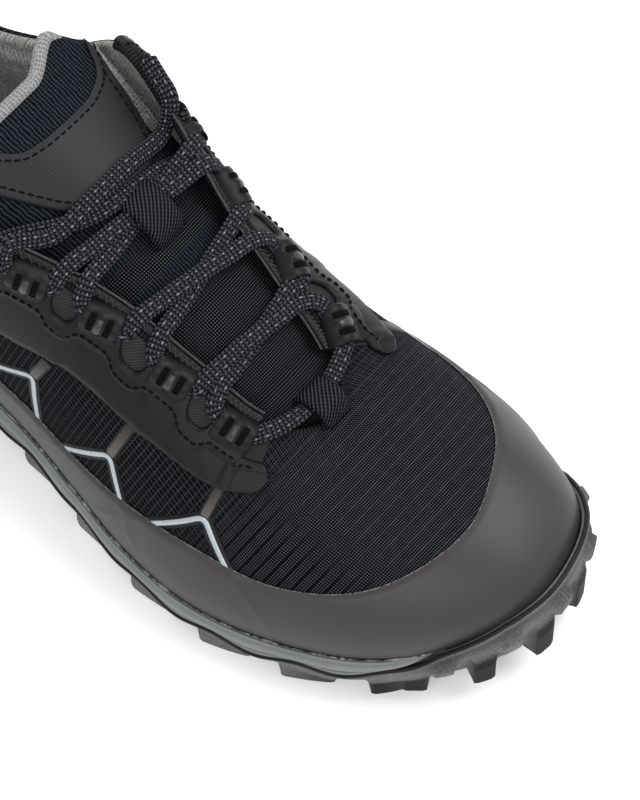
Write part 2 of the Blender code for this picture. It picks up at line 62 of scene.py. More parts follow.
# foot: where the wall meets the sole.  top: the edge of the collar or throat.
# rise, lean: how far the wall goes up and outwards from the foot before it turns in.
# out, drop: how far the wall runs outwards and down from the top edge.
# band: height of the rand.  lip: outsole edge above the foot line.  flare: spread of the tread.
Section = namedtuple(
    "Section", "name foot_x foot_y top_x top_y top_z rise lean out drop band lip flare"
)
SECTIONS = [
    Section("heel back", 0, 0, 5, 0, 91, 26, 7, 4, 18, 36, -15, 5.5),
    Section("lateral heel corner", 9, -22.5, 14, -21.5, 86, 24, 6, 5, 18, 34, -15, 4.5),
    Section("lateral heel side", 28, -34, 31, -31.5, 76, 22, 4, 5, 16, 29, -14, 3.5),
    Section("lateral ankle", 60, -36.5, 58, -36, 69, 18, 3, 5, 14, 24, -13, 2.8),
    Section("lateral quarter", 95, -36, 90, -38.5, 82, 20, 4, 5, 18, 25, -11, 2.4),
    Section("lateral top eyelet", 120, -37.8, 113, -35.5, 102, 22, 5, 10, 24, 26, -9, 2.4),
    Section("lateral row 4", 139, -40, 137, -27, 95.5, 21, 5, 15, 20, 24, -7.5, 2.6),
    Section("lateral row 3", 160, -44.2, 158, -20.8, 87.5, 20, 4, 19, 17, 22, -6.5, 2.8),
    Section("lateral row 2", 181, -48.3, 180, -17.8, 77, 19, 4, 20, 13, 24, -5.5, 3),
    Section("lateral row 1", 205, -49.8, 201, -15, 66.5, 17, 4, 20, 8, 25, -5.5, 3),
    Section("lateral vamp", 233, -44.3, 211, -8, 62.7, 16, 4, 24, 5, 22.3, -6, 3),
    Section("lateral toe", 264, -29, 215, -2, 61.5, 16, 4, 34, 5, 25.5, -4.5, 3.6),
    Section("toe tip", 288, 9, 216, 3, 61.3, 16, 4, 44, 6, 34.5, 6.5, 4),
    Section("medial toe", 280.5, 33, 215, 7.5, 61.5, 17, 4, 40, 5, 37, 5, 3.4),
    Section("medial vamp", 254, 46.5, 210.5, 14, 62.7, 17, 5, 28, 4, 29, -4.5, 3.2),
    Section("medial row 1", 214, 48, 201, 20.5, 66.5, 19, 5, 21, 7, 22, -6, 3),
    Section("medial row 2", 186, 41.5, 180, 24, 77, 21, 6, 18, 12, 22, -5.5, 3),
    Section("medial row 3", 163, 33.5, 158, 27.3, 87.8, 24, 8, 14, 18, 22, -6.5, 2.8),
    Section("medial row 4", 141, 29.5, 137, 32.5, 98.5, 26, 9, 9, 22, 23, -7.5, 2.6),
    Section("medial top eyelet", 121, 29.2, 114, 38, 107, 28, 10, 6.5, 25, 24, -9, 2.4),
    Section("medial quarter", 95, 31.7, 90, 39, 86, 22, 6, 4, 18, 24, -11, 2.4),
    Section("medial ankle", 60, 35.5, 58, 34.5, 71.5, 18, 3, 5, 14, 24, -13, 2.8),
    Section("medial heel side", 28, 34, 31, 31, 77, 22, 4, 5, 16, 29, -14, 3.5),
    Section("medial heel corner", 9, 22.5, 14, 21.5, 86, 24, 6, 5, 18, 34, -15, 4.5),
]
NAMES = [section.name for section in SECTIONS]
TOE = NAMES.index("toe tip")
Profile = namedtuple("Profile", "x z")
FOOT_LINE = [
    Profile(0, 26.5), Profile(71, 24), Profile(142, 18.5), Profile(185, 14.5),
    Profile(214, 15.5), Profile(242, 18.8), Profile(266, 23.5), Profile(290, 32),
]


def hermite(knots, values, at):
    """A smooth curve through the values."""
    knots = np.asarray(knots, float)
    values = np.asarray(values, float)
    at = np.asarray(at, float)
    slopes = np.gradient(values, knots)
    i = np.clip(np.searchsorted(knots, at, side="right") - 1, 0, len(knots) - 2)
    step = knots[i + 1] - knots[i]
    s = (at - knots[i]) / step
    start = (1 + 2 * s) * (1 - s) ** 2 * values[i] + s * (1 - s) ** 2 * step * slopes[i]
    end = s * s * (3 - 2 * s) * values[i + 1] - s * s * (1 - s) * step * slopes[i + 1]
    return start + end


def foot_line(x):
    """Height of the line where the upper meets the sole."""
    first, last = FOOT_LINE[0].x, FOOT_LINE[-1].x
    return hermite(*np.transpose(FOOT_LINE), np.clip(x, first, last))


def running_length(points):
    """Length along a path at each of its points."""
    return np.concatenate([[0], np.cumsum(np.linalg.norm(np.diff(points, axis=0), axis=1))])


def section_runs():
    """Distance of each section round the foot outline, back to the heel."""
    ring = SECTIONS + SECTIONS[:1]
    outline = np.array([(s.foot_x, s.foot_y) for s in ring], float)
    return running_length(outline)


RUNS = section_runs()
PLACES = np.where(
    RUNS <= RUNS[TOE],
    0.5 * RUNS / RUNS[TOE],
    0.5 + 0.5 * (RUNS - RUNS[TOE]) / (RUNS[-1] - RUNS[TOE]),
)


def column(name, t):
    """One column of the section table at place t: 0 at the heel, 0.5 at the toe, 1 at the heel."""
    values = [getattr(s, name) for s in SECTIONS]
    places = np.concatenate([PLACES[-4:-1] - 1, PLACES, PLACES[1:4] + 1])
    values = np.concatenate([values[-3:], values, values[:4]])
    return hermite(places, values, np.mod(t, 1))


def unit(vectors):
    return vectors / np.maximum(np.linalg.norm(vectors, axis=-1, keepdims=True), 1e-9)


def smooth(low, high, x):
    """A soft step from 0 at low to 1 at high."""
    s = np.clip((np.asarray(x, float) - low) / (high - low), 0, 1)
    return s * s * (3 - 2 * s)


def outward(t):
    """Level direction away from the foot outline."""
    step = 1e-4
    along_x = column("foot_x", t + step) - column("foot_x", t - step)
    along_y = column("foot_y", t + step) - column("foot_y", t - step)
    return unit(np.stack([along_y, -along_x, np.zeros_like(along_x)], -1))


def foot(t, offset=0.0):
    """Point of the foot outline, moved outwards by offset, on the foot line."""
    outline = np.stack([column("foot_x", t), column("foot_y", t), np.zeros_like(t)], -1)
    outline = outline + outward(t) * np.asarray(offset, float)[..., None]
    outline[..., 2] = foot_line(outline[..., 0])
    return outline


def skin(t, v):
    """Point of the upper's outside, v from 0 at the sole to 1 at the top edge."""
    t, v = np.broadcast_arrays(np.asarray(t, float), np.asarray(v, float))
    low = foot(t)
    low[..., 2] += GAP
    top = np.stack([column("top_x", t), column("top_y", t), column("top_z", t)], -1)
    side = outward(t)
    span = (low - top) * (1, 1, 0)
    reach = np.linalg.norm(span, axis=-1, keepdims=True)
    slanted = np.clip((reach - 6) / 12, 0, 1)
    away = unit(side * (1 - slanted) + unit(span) * slanted)
    rise = low + side * column("lean", t)[..., None]
    rise[..., 2] += column("rise", t)
    turn = top + away * column("out", t)[..., None]
    turn[..., 2] -= column("drop", t)
    v = v[..., None]
    return (
        (1 - v) ** 3 * low
        + 3 * v * (1 - v) ** 2 * rise
        + 3 * v * v * (1 - v) * turn
        + v ** 3 * top
    )


def skin_normal(t, v):
    """Direction straight out of the upper's outside."""
    step = 1e-3
    v = np.clip(v, step, 1 - step)
    return unit(np.cross(skin(t + step, v) - skin(t - step, v), skin(t, v + step) - skin(t, v - step)))


def wall_lengths(t):
    """Heights up the wall, measured along the skin, at evenly spread values of v."""
    v = np.linspace(0, 1, WALL_STEPS)
    steps = np.linalg.norm(np.diff(skin(t[:, None], v[None, :]), axis=1), axis=2)
    return v, np.concatenate([np.zeros((len(t), 1)), np.cumsum(steps, axis=1)], axis=1)


def on_skin(t, heights, lift=0.0):
    """Points at heights up the wall, one row of heights for each t, lifted off it, and the normals."""
    v, lengths = wall_lengths(t)
    v = np.array([np.interp(h, run, v) for h, run in zip(heights, lengths)])
    t = np.broadcast_to(t[:, None], v.shape)
    normal = skin_normal(t, v)
    return skin(t, v) + normal * np.broadcast_to(lift, v.shape)[..., None], normal


def wall_faces(columns, rows, closed):
    """Four-sided faces of a wall from columns of points, each of which goes once round it."""
    i = np.arange(columns if closed else columns - 1)[:, None]
    j = np.arange(rows - 1)[None, :]
    k = (i + 1) % columns
    sides = [i * rows + j, k * rows + j, k * rows + j + 1, i * rows + j + 1]
    foot_strip = [i * rows, i * rows + rows - 1, k * rows + rows - 1, k * rows]
    return [face for part in (sides, foot_strip) for face in np.stack(part, -1).reshape(-1, 4).tolist()]


def piece(name, points, faces, finishes, finish_of=None, cloth=None, crease=180):
    """A mesh in the shared frame that rides on the shoe. cloth holds pattern places in mm."""
    mesh = bpy.data.meshes.new(name)
    points = np.asarray(points, float).reshape(-1, 3)
    mesh.from_pydata(((points - ORIGIN) * MM).tolist(), [], faces)
    if cloth is not None:
        places = mesh.attributes.new("cloth", "FLOAT_VECTOR", "POINT")
        places.data.foreach_set("vector", np.asarray(cloth, np.float32).ravel())
    for finish in finishes:
        mesh.materials.append(finish)
    if finish_of is not None:
        mesh.polygons.foreach_set("material_index", np.asarray(finish_of, np.int32))
    bm = bmesh.new()
    bm.from_mesh(mesh)
    bmesh.ops.recalc_face_normals(bm, faces=bm.faces)
    bm.to_mesh(mesh)
    bm.free()
    mesh.shade_smooth()
    if crease < 180:
        mesh.set_sharp_from_angle(angle=np.radians(crease))
    obj = bpy.data.objects.new(name, mesh)
    bpy.context.scene.collection.objects.link(obj)
    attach(obj, "root")
    return obj


def linear(colour):
    """An sRGB hex colour as linear RGBA."""
    srgb = np.array([int(colour[k:k + 2], 16) for k in (1, 3, 5)]) / 255
    rgb = np.where(srgb <= 0.04045, srgb / 12.92, ((srgb + 0.055) / 1.055) ** 2.4)
    return (*rgb.tolist(), 1.0)


def plug(node, inputs):
    """Set a node's inputs, or link them to a socket or to another node's first live output."""
    for key, value in inputs.items():
        if isinstance(value, bpy.types.Node):
            value = next(socket for socket in value.outputs if socket.enabled)
        if isinstance(value, bpy.types.NodeSocket):
            node.id_data.links.new(value, node.inputs[key])
        else:
            node.inputs[key].default_value = linear(value) if isinstance(value, str) else value


def add_node(tree, kind, inputs=None, **settings):
    """A shader node with its settings and links."""
    node = tree.nodes.new("ShaderNode" + kind)
    for key, value in settings.items():
        setattr(node, key, value)
    plug(node, inputs or {})
    return node


def new_material(name, colour, roughness, **sockets):
    """A material with its shader's own sockets set. Gives what adds its nodes, and its shader."""
    material = bpy.data.materials.new(name)
    material.use_nodes = True
    shader = material.node_tree.nodes["Principled BSDF"]
    plug(shader, {"Base Color": colour, "Roughness": roughness})
    plug(shader, {key.replace("_", " "): value for key, value in sockets.items()})
    return material, partial(add_node, material.node_tree), shader


# Ripstop polyester mesh: fine knit dots with a thin yarn line every few millimetres. The eye sees
# a dotted black cloth with thin lines across the foot, and a dashed grid of them on the quarters.
KNIT_PITCH = 0.72        # drawn coarser than the real half millimetre, so that the knit shows
RIP_PITCH = 3.6
GRID_PITCH = 2.2         # closer lines of the quarters
PATCH = 3.333            # lighter and darker spots
SHADED_LOW_SIDE = (-40.0, -24.0)     # places across the cloth: below the first the lines are dark as painted shade, above the second light as painted highlight
ripstop, add, shader = new_material("ripstop_polyester_mesh", "#121316", 0.85, Specular_IOR_Level=0.03)
places = add("Attribute", attribute_name="cloth").outputs["Vector"]
split = add("SeparateXYZ", {0: places})
dots, dashes = {}, []
for axis in "XY":
    wave = add("Math", {0: split.outputs[axis], 1: 2 * np.pi / KNIT_PITCH}, operation="MULTIPLY")
    wave = add("Math", {0: wave}, operation="COSINE")
    dots[axis] = add("MapRange", {0: wave, 1: -0.6, 2: 0.95})
knit = add("Math", {0: dots["X"], 1: dots["Y"]}, operation="MULTIPLY")
for line, across, pitch, strength in (
    ("X", "Y", GRID_PITCH, 0.48),
    ("Y", "X", 0.66 * GRID_PITCH, 0.42),
):
    away = add("Math", {0: split.outputs[line], 1: pitch / 2}, operation="PINGPONG")
    grid = add("MapRange", {0: away, 1: 0.08, 2: 0.34, 3: strength, 4: 0.0})
    dash = add("MapRange", {0: dots[across], 3: 0.2, 4: 1.0})
    dashes.append(add("Math", {0: grid, 1: dash}, operation="MULTIPLY"))
quarter = add("Math", {0: dashes[0], 1: dashes[1]}, operation="MAXIMUM")
faint = add("Math", {0: knit, 1: 0.13}, operation="MULTIPLY")
quarter = add("Math", {0: quarter, 1: faint}, operation="MAXIMUM")
# The lines across the vamp carry painted light: light lines as painted highlight on the crest and medial
# side, dark lines as painted shade low on the lateral side.
rip = {}
away = add("Math", {0: split.outputs["X"], 1: RIP_PITCH / 2}, operation="PINGPONG")
for name, width, strength, on_shaded_side, on_lit_crest in (
    ("painted_lit_line", 0.17, 0.5, 0.0, 1.0),
    ("groove", 0.2, 0.9, 1.0, 0.0),
):
    line = add("MapRange", {0: away, 1: width / 3, 2: width, 3: strength, 4: 0.0})
    low, high = SHADED_LOW_SIDE
    share = add("MapRange", {0: split.outputs["Y"], 1: low, 2: high, 3: on_shaded_side, 4: on_lit_crest})
    rip[name] = add("Math", {0: line, 1: share}, operation="MULTIPLY")
knit = add("Math", {0: knit, 1: rip["groove"]}, operation="SUBTRACT", use_clamp=True)
vamp = add("Math", {0: knit, 1: rip["painted_lit_line"]}, operation="MAXIMUM")
weave = add("Mix", {0: split.outputs["Z"], 2: vamp, 3: quarter}, data_type="FLOAT")
patches = add("TexNoise", {"Vector": places, "Scale": 1 / PATCH, "Detail": 4.0})
lit = add("Mix", {0: patches, 6: "#3a3b40", 7: "#5e5f66"}, data_type="RGBA")
tone = add("Mix", {0: weave, 6: "#030304", 7: lit}, data_type="RGBA")
bump = add("Bump", {"Height": weave, "Strength": 0.35, "Distance": 0.25 * MM})
plug(shader, {"Base Color": tone, "Normal": bump})

# Spacer knit lining: soft grey polyester with open cells in staggered rows.
CELL = 1.1
lining, add, shader = new_material("grey_spacer_knit", "#6a6866", 0.9, Specular_IOR_Level=0.15)
places = add("Attribute", attribute_name="cloth").outputs["Vector"]
cells = add(
    "TexVoronoi", {"Vector": places, "Scale": 1 / CELL, "Randomness": 0.35},
    feature="DISTANCE_TO_EDGE",
)
rim = add("MapRange", {0: cells, 1: 0.05, 2: 0.3})
tone = add("Mix", {0: rim, 6: "#9d9c9a", 7: "#6b6a68"}, data_type="RGBA")
bump = add("Bump", {"Height": rim, "Strength": 0.8, "Distance": 0.5 * MM}, invert=True)
plug(shader, {"Base Color": tone, "Normal": bump})


LINE_BOW = 0.33          # how far the cloth's lines lag towards the heel for each mm down the sides
GRID_SLANT = 0.7         # how far the quarters' lines drop for each mm towards the toe
SIDE_STRETCH = 0.34      # how much wider the cloth's pattern is laid out down the sides
CREST_HALF = 24.0        # from the middle line to where that stretch begins
CREST_SOFT = 6.0         # length over which it sets in
HEEL_WRAP = (40, 90)     # between these the pattern passes from round the heel to along the foot
HEEL_SHIFT = 20          # of the pattern round the heel
QUARTER_END = (200, 226)     # between these the quarters' grid passes into the vamp's lines
QUARTER_LEAN = 0.3       # how far that change lags towards the heel for each mm down the sides
VAMP_CREST = skin(np.full(80, PLACES[TOE]), np.linspace(1, 0.35, 80))     # middle line, throat to toe


def cloth_places(t, points):
    """Where a point of the upper lies on the cloth: along the foot, across it, and on a quarter."""
    from_heel = np.where(t <= 0.5, 2 * t * RUNS[TOE], 2 * (1 - t) * (RUNS[-1] - RUNS[TOE]))
    x = points[..., 0]
    front = smooth(*HEEL_WRAP, x)
    aside = points[..., 1] - np.interp(x, VAMP_CREST[:, 0], VAMP_CREST[:, 1])
    below = np.interp(x, VAMP_CREST[:, 0], VAMP_CREST[:, 2]) - points[..., 2]
    along = (from_heel - HEEL_SHIFT) * (1 - front) + (x + LINE_BOW * below) * front
    quarter = 1 - smooth(*QUARTER_END, x + QUARTER_LEAN * below)
    dropped = below - GRID_SLANT * np.minimum(x - QUARTER_END[1], 0)
    down = np.abs(aside) + dropped
    down = down - SIDE_STRETCH * CREST_SOFT * np.logaddexp(0, (down - CREST_HALF) / CREST_SOFT)
    return np.stack([along, np.sign(aside) * down, quarter], -1)


def make_upper():
    """The wall's outside, a round top edge, and the lining inside."""
    t = np.arange(ROUND) / ROUND
    total = wall_lengths(t)[1][:, -1:]
    share = np.concatenate([np.linspace(0, 0.8, 34), np.linspace(0.82, 1, 14)])
    outer, normal = on_skin(t, total * share)
    ahead = (column("top_x", t) - ANKLE_END[0]) / (ANKLE_END[1] - ANKLE_END[0])
    ankle = (1 - np.clip(ahead, 0, 1))[:, None]
    depth = total * (1 - share)
    pad = COLLAR_PAD * ankle * smooth(40, 12, depth) * (0.45 + 0.55 * smooth(0, 6, depth))
    inner = outer - normal * (WALL + pad)[..., None]
    inner[:, 0] = foot(t, np.full_like(t, -WALL))
    inner[:, 0, 2] += GAP
    turn = np.linspace(0, np.pi, 8)[1:-1]
    across = (outer[:, -1] - inner[:, -1]) / 2
    upwards = unit(outer[:, -1] - outer[:, -3]) * (np.linalg.norm(across, axis=1) * 0.9)[:, None]
    middle = (outer[:, -1] + inner[:, -1]) / 2
    edge = [middle + across * np.cos(a) + upwards * np.sin(a) for a in turn]
    rings = np.concatenate([outer, np.stack(edge, 1), inner[:, ::-1]], axis=1)
    columns, rows = rings.shape[:2]
    faces = wall_faces(columns, rows, closed=True)
    row_of = np.tile(np.arange(rows - 1), columns)
    inside = np.concatenate([row_of >= len(share) + 2, np.ones(columns, bool)])
    cloth = cloth_places(t[:, None], rings)
    return piece("upper_bag", rings, faces, [ripstop, lining], inside, cloth)


upper_bag = make_upper()
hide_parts("upper")


# Rand: one warm grey TPU film welded round the foot, high over the toes as a guard. It is a
# smooth moulded skin, so the reinforcing lines of the upper show under it as faint ridges.

RAND = 1.1
LINE_NODES = [
    # place round the shoe and height up the wall of a fork, then of its three ends
    ((0.1960, 45.0), (0.2050, 56.0), (0.1740, 29.0), (0.2000, 25.0)),
    ((0.2444, 42.1), (0.2500, 51.5), (0.2060, 26.0), (0.2472, 21.0)),
    ((0.2889, 36.0), (0.2944, 51.5), (0.2639, 21.5), (0.3000, 22.5)),
    ((0.3389, 36.0), (0.3410, 48.5), (0.3145, 23.0), (0.3583, 22.5)),
]


def other_side(t):
    """The medial place that faces a lateral one."""
    return np.interp(t, PLACES[:TOE + 1], PLACES[:TOE - 1:-1])


def ridge_height(t, heights):
    """Faint ridges where the lower arms of the lines run on under the film."""
    ridge = np.zeros(heights.shape)
    mm_per_t = 2 * np.where(t <= 0.5, RUNS[TOE], RUNS[-1] - RUNS[TOE])
    for fork, _, back, front in LINE_NODES:
        for end in (back, front):
            for side in (lambda p: p, other_side):
                at, step = side(end[0]), side(end[0]) - side(fork[0])
                low = np.clip((end[1] + 2 - heights) / max(fork[1] - end[1], 1), 0, 1.2)
                across = (t - at - step * low) * mm_per_t
                ridge = np.maximum(ridge, np.exp(-(across / 1.1) ** 2) * smooth(3, 8, heights))
    return ridge


# Thermoplastic polyurethane film: matt moulded skin with soft broad highlights and slight mottle.
film_grey, add, shader = new_material("grey_tpu_film", "#403e3d", 0.46, Specular_IOR_Level=0.3)
where = add("TexCoord").outputs["Object"]
CLOUD = 38.46
cloud = add("TexNoise", {"Vector": where, "Scale": 1 / (CLOUD * MM), "Detail": 4.0})
tone = add("Mix", {0: cloud, 6: "#2a2828", 7: "#383635"}, data_type="RGBA")
GRAIN = 0.5
grain = add("TexNoise", {"Vector": where, "Scale": 1 / (GRAIN * MM), "Detail": 2.0})
bump = add("Bump", {"Height": grain, "Strength": 0.12, "Distance": 0.1 * MM})
plug(shader, {"Base Color": tone, "Normal": bump})


def shell(outer, inner, closed):
    """Points and faces of a wall between two grids of points."""
    columns, rows = outer.shape[:2]
    points = np.concatenate([outer, inner[:, ::-1]], axis=1)
    wide = 2 * rows
    faces = wall_faces(columns, wide, closed)
    if not closed:
        for i in (0, columns - 1):
            for j in range(rows - 1):
                low, high = i * wide + j, i * wide + wide - 1 - j
                faces.append([low, low + 1, high - 1, high])
    return points, faces


def make_rand():
    """The film from the foot line up to its thinned edge, closed round the shoe."""
    t = np.arange(ROUND) / ROUND
    band = column("band", t)[:, None]
    heights = band * np.concatenate([np.linspace(0, 0.94, 26), (0.975, 0.992, 1.0)])
    edge = smooth(0, 1.2, band - heights)
    thick = RAND * (0.35 + 0.65 * edge) + 0.35 * ridge_height(t[:, None], heights)
    outer, _ = on_skin(t, heights, GAP + thick)
    inner, _ = on_skin(t, heights, 0.05)
    outer[:, 0] = foot(t, np.full_like(t, GAP + RAND))
    inner[:, 0] = foot(t, np.full_like(t, 0.05))
    for grid in (outer, inner):
        grid[:, 0, 2] += 0.1
    return piece("rand_film", *shell(outer, inner, closed=True), [film_grey])


rand_film = make_rand()
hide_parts("rand")

# Cut edge of the film where the weld melted it: a thin pale line, broken into specks.
FRAY = 0.6
EDGE_HALF = 0.24         # half width and half height of the edge
EDGE_RISE = 0.2
cut_edge, add, shader = new_material("melted_tpu_edge", "#6a6968", 0.6, Specular_IOR_Level=0.2)
where = add("TexCoord").outputs["Object"]
fray = add("TexNoise", {"Vector": where, "Scale": 1 / (FRAY * MM), "Detail": 3.0})
specks = add("MapRange", {0: fray, 1: 0.4, 2: 0.65})
tone = add("Mix", {0: specks, 6: "#383736", 7: "#747372"}, data_type="RGBA")
plug(shader, {"Base Color": tone})


def sweep(path, ups, profile):
    """Points and faces of a profile of (across, up) offsets carried along a path."""
    along = unit(np.gradient(path, axis=0))
    across = unit(np.cross(ups, along))
    up = np.cross(along, across)
    profile = np.broadcast_to(np.asarray(profile, float), (len(path),) + np.shape(profile)[-2:])
    rings = (
        path[:, None]
        + across[:, None] * profile[..., :1]
        + up[:, None] * profile[..., 1:]
    )
    count, sides = rings.shape[:2]
    around = np.arange(sides)
    faces = []
    for i in range(count - 1):
        for j in range(sides):
            k = (j + 1) % sides
            faces.append([i * sides + j, (i + 1) * sides + j, (i + 1) * sides + k, i * sides + k])
    faces.append(around.tolist())
    faces.append((around + (count - 1) * sides).tolist())
    return rings.reshape(-1, 3), faces


around = np.append(np.arange(ROUND) / ROUND, 1.0)
path, up = on_skin(around, column("band", around)[:, None] + 0.1, 0.45)
diamond = [(-EDGE_HALF, 0), (0, EDGE_RISE), (EDGE_HALF, 0), (0, -EDGE_RISE)]
rim = piece("rand_edge", *sweep(path[:, 0], up[:, 0], diamond), [cut_edge])


# Reinforcing lines: forks of dark film on the quarters, with silver reflective tape down the
# two lower arms. They are hot-pressed on the ripstop between the eyestay and the rand.

TAPE_WIDTH = 2.0
UNDER_WIDTH = 4.3
ARM_WIDTH = 3.0          # dull strip on the upper arms
FORK_ROUND = 3.2         # length of a fork's rounded bend
MEDIAL_DROP = 5.0        # how much lower the forks stand on the medial side
MEDIAL_AHEAD = 0.008     # how much further round the shoe
MEDIAL_SLANT = 0.6       # and how much of their slant is left
RIBBON_STEPS = 24


def smooth_path(points, step):
    """Evenly spread points on a smooth curve through some points."""
    points = np.asarray(points, float)
    run = running_length(points)
    even = np.linspace(0, run[-1], max(int(run[-1] / step) + 1, 3))
    return np.stack([hermite(run, points[:, k], even) for k in range(points.shape[1])], axis=1)


def joined(parts):
    """Several lots of points and faces as one."""
    points, faces, start = [], [], 0
    for part_points, part_faces in parts:
        points.append(part_points)
        faces += [[index + start for index in face] for face in part_faces]
        start += len(part_points)
    return np.concatenate(points), faces


def ribbon(places, width, low, high):
    """A flat strip on the skin through two or three places (t, height), rounded at the middle one."""
    scale = np.array((2 * RUNS[TOE], 1.0))
    ends = np.array(places) * scale
    share = np.linspace(0, 1, RIBBON_STEPS)[:, None]
    if len(ends) == 3:
        start, end = (ends[1] + unit(ends[k] - ends[1]) * FORK_ROUND for k in (0, 2))
        bend = (1 - share) ** 2 * start + 2 * share * (1 - share) * ends[1] + share ** 2 * end
        run = np.concatenate([
            ends[0] + (start - ends[0]) * share, bend[1:-1], end + (ends[2] - end) * share,
        ])
    else:
        run = ends[0] + (ends[1] - ends[0]) * share
    path, up = on_skin(run[:, 0] / scale[0], run[:, 1:])
    edge = min(0.35, width / 5)
    half = width / 2
    profile = [(-half, low), (-half + edge, high), (half - edge, high), (half, low)]
    return sweep(path[:, 0], up[:, 0], profile)


# Black polyurethane film, hot-pressed: smooth, a little shiny, with the faintest crinkle.
film_black, add, shader = new_material("black_pu_film", "#161617", 0.42, Specular_IOR_Level=0.15)
where = add("TexCoord").outputs["Object"]
CRINKLE = 3.0
crinkle = add("TexNoise", {"Vector": where, "Scale": 1 / (CRINKLE * MM), "Detail": 3.0})
tone = add("Mix", {0: crinkle, 6: "#0e0e0f", 7: "#171718"}, data_type="RGBA")
bump = add("Bump", {"Height": crinkle, "Strength": 0.25, "Distance": 0.25 * MM})
plug(shader, {"Base Color": tone, "Normal": bump})

# Reflective tape: glass beads in silver ink, which look like dull pale metal.
tape_silver, add, shader = new_material("silver_reflective_tape", "#b9c0c3", 0.42, Metallic=0.35)
where = add("TexCoord").outputs["Object"]
BEADS = 0.6
beads = add("TexNoise", {"Vector": where, "Scale": 1 / (BEADS * MM), "Detail": 1.0})
tone = add("Mix", {0: beads, 6: "#7f878b", 7: "#b4bcc0"}, data_type="RGBA")
plug(shader, {"Base Color": tone})

# The same film on the upper arms: dull grey at the fork, rubbed black towards the eyestay.
film_faded, add, shader = new_material("faded_grey_tpu_film", "#3a3837", 0.5, Specular_IOR_Level=0.25)
places = add("Attribute", attribute_name="cloth").outputs["Vector"]
split = add("SeparateXYZ", {0: places})
where = add("TexCoord").outputs["Object"]
RUBBED = 5.556
patchy = add("TexNoise", {"Vector": where, "Scale": 1 / (RUBBED * MM), "Detail": 3.0})
worn = add("Mix", {0: patchy, 6: "#3b3836", 7: "#625e5a"}, data_type="RGBA")
tone = add("Mix", {0: split.outputs["X"], 6: worn, 7: "#111112"}, data_type="RGBA")
plug(shader, {"Base Color": tone})


def medial_line(place, fork):
    """A lateral place moved to the medial side, where the forks stand steeper."""
    step = other_side(place[0]) - other_side(fork[0])
    return other_side(fork[0]) + MEDIAL_AHEAD + MEDIAL_SLANT * step, place[1] - MEDIAL_DROP


def one_value(values):
    """Places on the cloth that only carry one value for each point, for a material to read."""
    return np.stack([values, 0 * values, 0 * values], -1)


under, tape, arms = [], [], []
for fork, arm, back, front in LINE_NODES:
    for side in (lambda place, fork: place, medial_line):
        stem = side(fork, fork), side(arm, fork)
        bend = side(back, fork), side(fork, fork), side(front, fork)
        under += [ribbon(stem, UNDER_WIDTH, -0.3, 0.32), ribbon(bend, UNDER_WIDTH, -0.3, 0.36)]
        tape.append(ribbon(bend, TAPE_WIDTH, 0.1, 0.55))
        arms.append(ribbon(stem, ARM_WIDTH, 0.1, 0.45))
for name, parts, finish in (("line_film", under, film_black), ("line_tape", tape, tape_silver)):
    piece(name, *joined(parts), [finish])
fade = one_value(np.repeat(np.tile(np.linspace(0, 1, RIBBON_STEPS), len(arms)), 4))
piece("line_arms", *joined(arms), [film_faded], cloth=fade)


# Eyestays: black film on both sides of the throat, cut with fingers that carry the lace loops and
# rounded windows between them, and sewn along a scalloped line. A lined webbing lies under them.

STAY = 1.2
LOOP_PLACES = (0.3335, 0.3000, 0.2667, 0.2350, 0.2060)
STAY_EDGE = [
    # places round the shoe, and how far the lower edge lies below the throat there
    (0.1960, 31), (0.2083, 31), (0.2371, 27.5), (0.2556, 24.5),
    (0.2917, 24.2), (0.3306, 21.2), (0.3556, 18.5),
]
STAY_TIPS = {"lateral": 0.3675, "medial": 0.3545}     # rounded front ends, as lateral places
STAY_BACK = 0.1965
WINDOW_DEPTH = 9.8
WINDOW_HALF = 0.42        # of half the distance between two loops
TIP_ROUND = 0.011         # length of the rounded front end
FRONT_BACK = 9.2          # of the film's upper edge from the throat, in front of the loops
SEAM_BACK = 10.4          # of the seam from the throat, at the loops
SCALLOP = 3.6             # how much further down it runs under a window
SEAM_FRONT = 11.0         # of the straight seam in front of the loops


def windows(t):
    """Place between the nearest two loops: 0 in the middle of a window, 1 at a loop."""
    step = LOOP_PLACES[0] - LOOP_PLACES[1]
    ahead = [LOOP_PLACES[0] + step, *LOOP_PLACES, LOOP_PLACES[-1] - step]
    centres = [(a + b) / 2 for a, b in zip(ahead, ahead[1:])]
    halves = [(a - b) / 2 for a, b in zip(ahead, ahead[1:])]
    place = np.stack([np.abs(t - c) / h for c, h in zip(centres, halves)])
    return place.min(axis=0)


def stay_limits(t, tip):
    """Upper and lower edge of the film, counted down from the top edge."""
    q = windows(t)
    notch = np.sqrt(np.clip(1 - (q / WINDOW_HALF) ** 3, 0, 1)) * WINDOW_DEPTH
    front = smooth(LOOP_PLACES[0] + 0.008, LOOP_PLACES[0] + 0.0105, t)
    high = notch * (1 - front) + FRONT_BACK * front
    low = np.interp(t, *np.transpose(STAY_EDGE))
    round_off = np.clip((t - (tip - TIP_ROUND)) / TIP_ROUND, 0, 1)
    close = np.sqrt(1 - np.minimum(round_off, 0.995) ** 2)
    middle = (high + low) / 2
    return middle + (high - middle) * close, middle + (low - middle) * close


def below_top(t, back, lift):
    """Points counted down the wall from its top edge, or on past the edge, and the normals."""
    total = wall_lengths(t)[1][:, -1:]
    points, normal = on_skin(t, total - back, lift)
    onward = unit(skin(t, np.ones_like(t)) - skin(t, np.full_like(t, 0.97)))
    return points + onward[:, None] * np.maximum(-back, 0)[..., None], normal


def seam_line(t):
    """The scalloped seam under the windows and the straight one to the tip, counted from the edge."""
    back = SEAM_BACK + SCALLOP * np.exp(-(windows(t) / 0.45) ** 4)
    return back + (SEAM_FRONT - back) * smooth(0.343, 0.347, t)


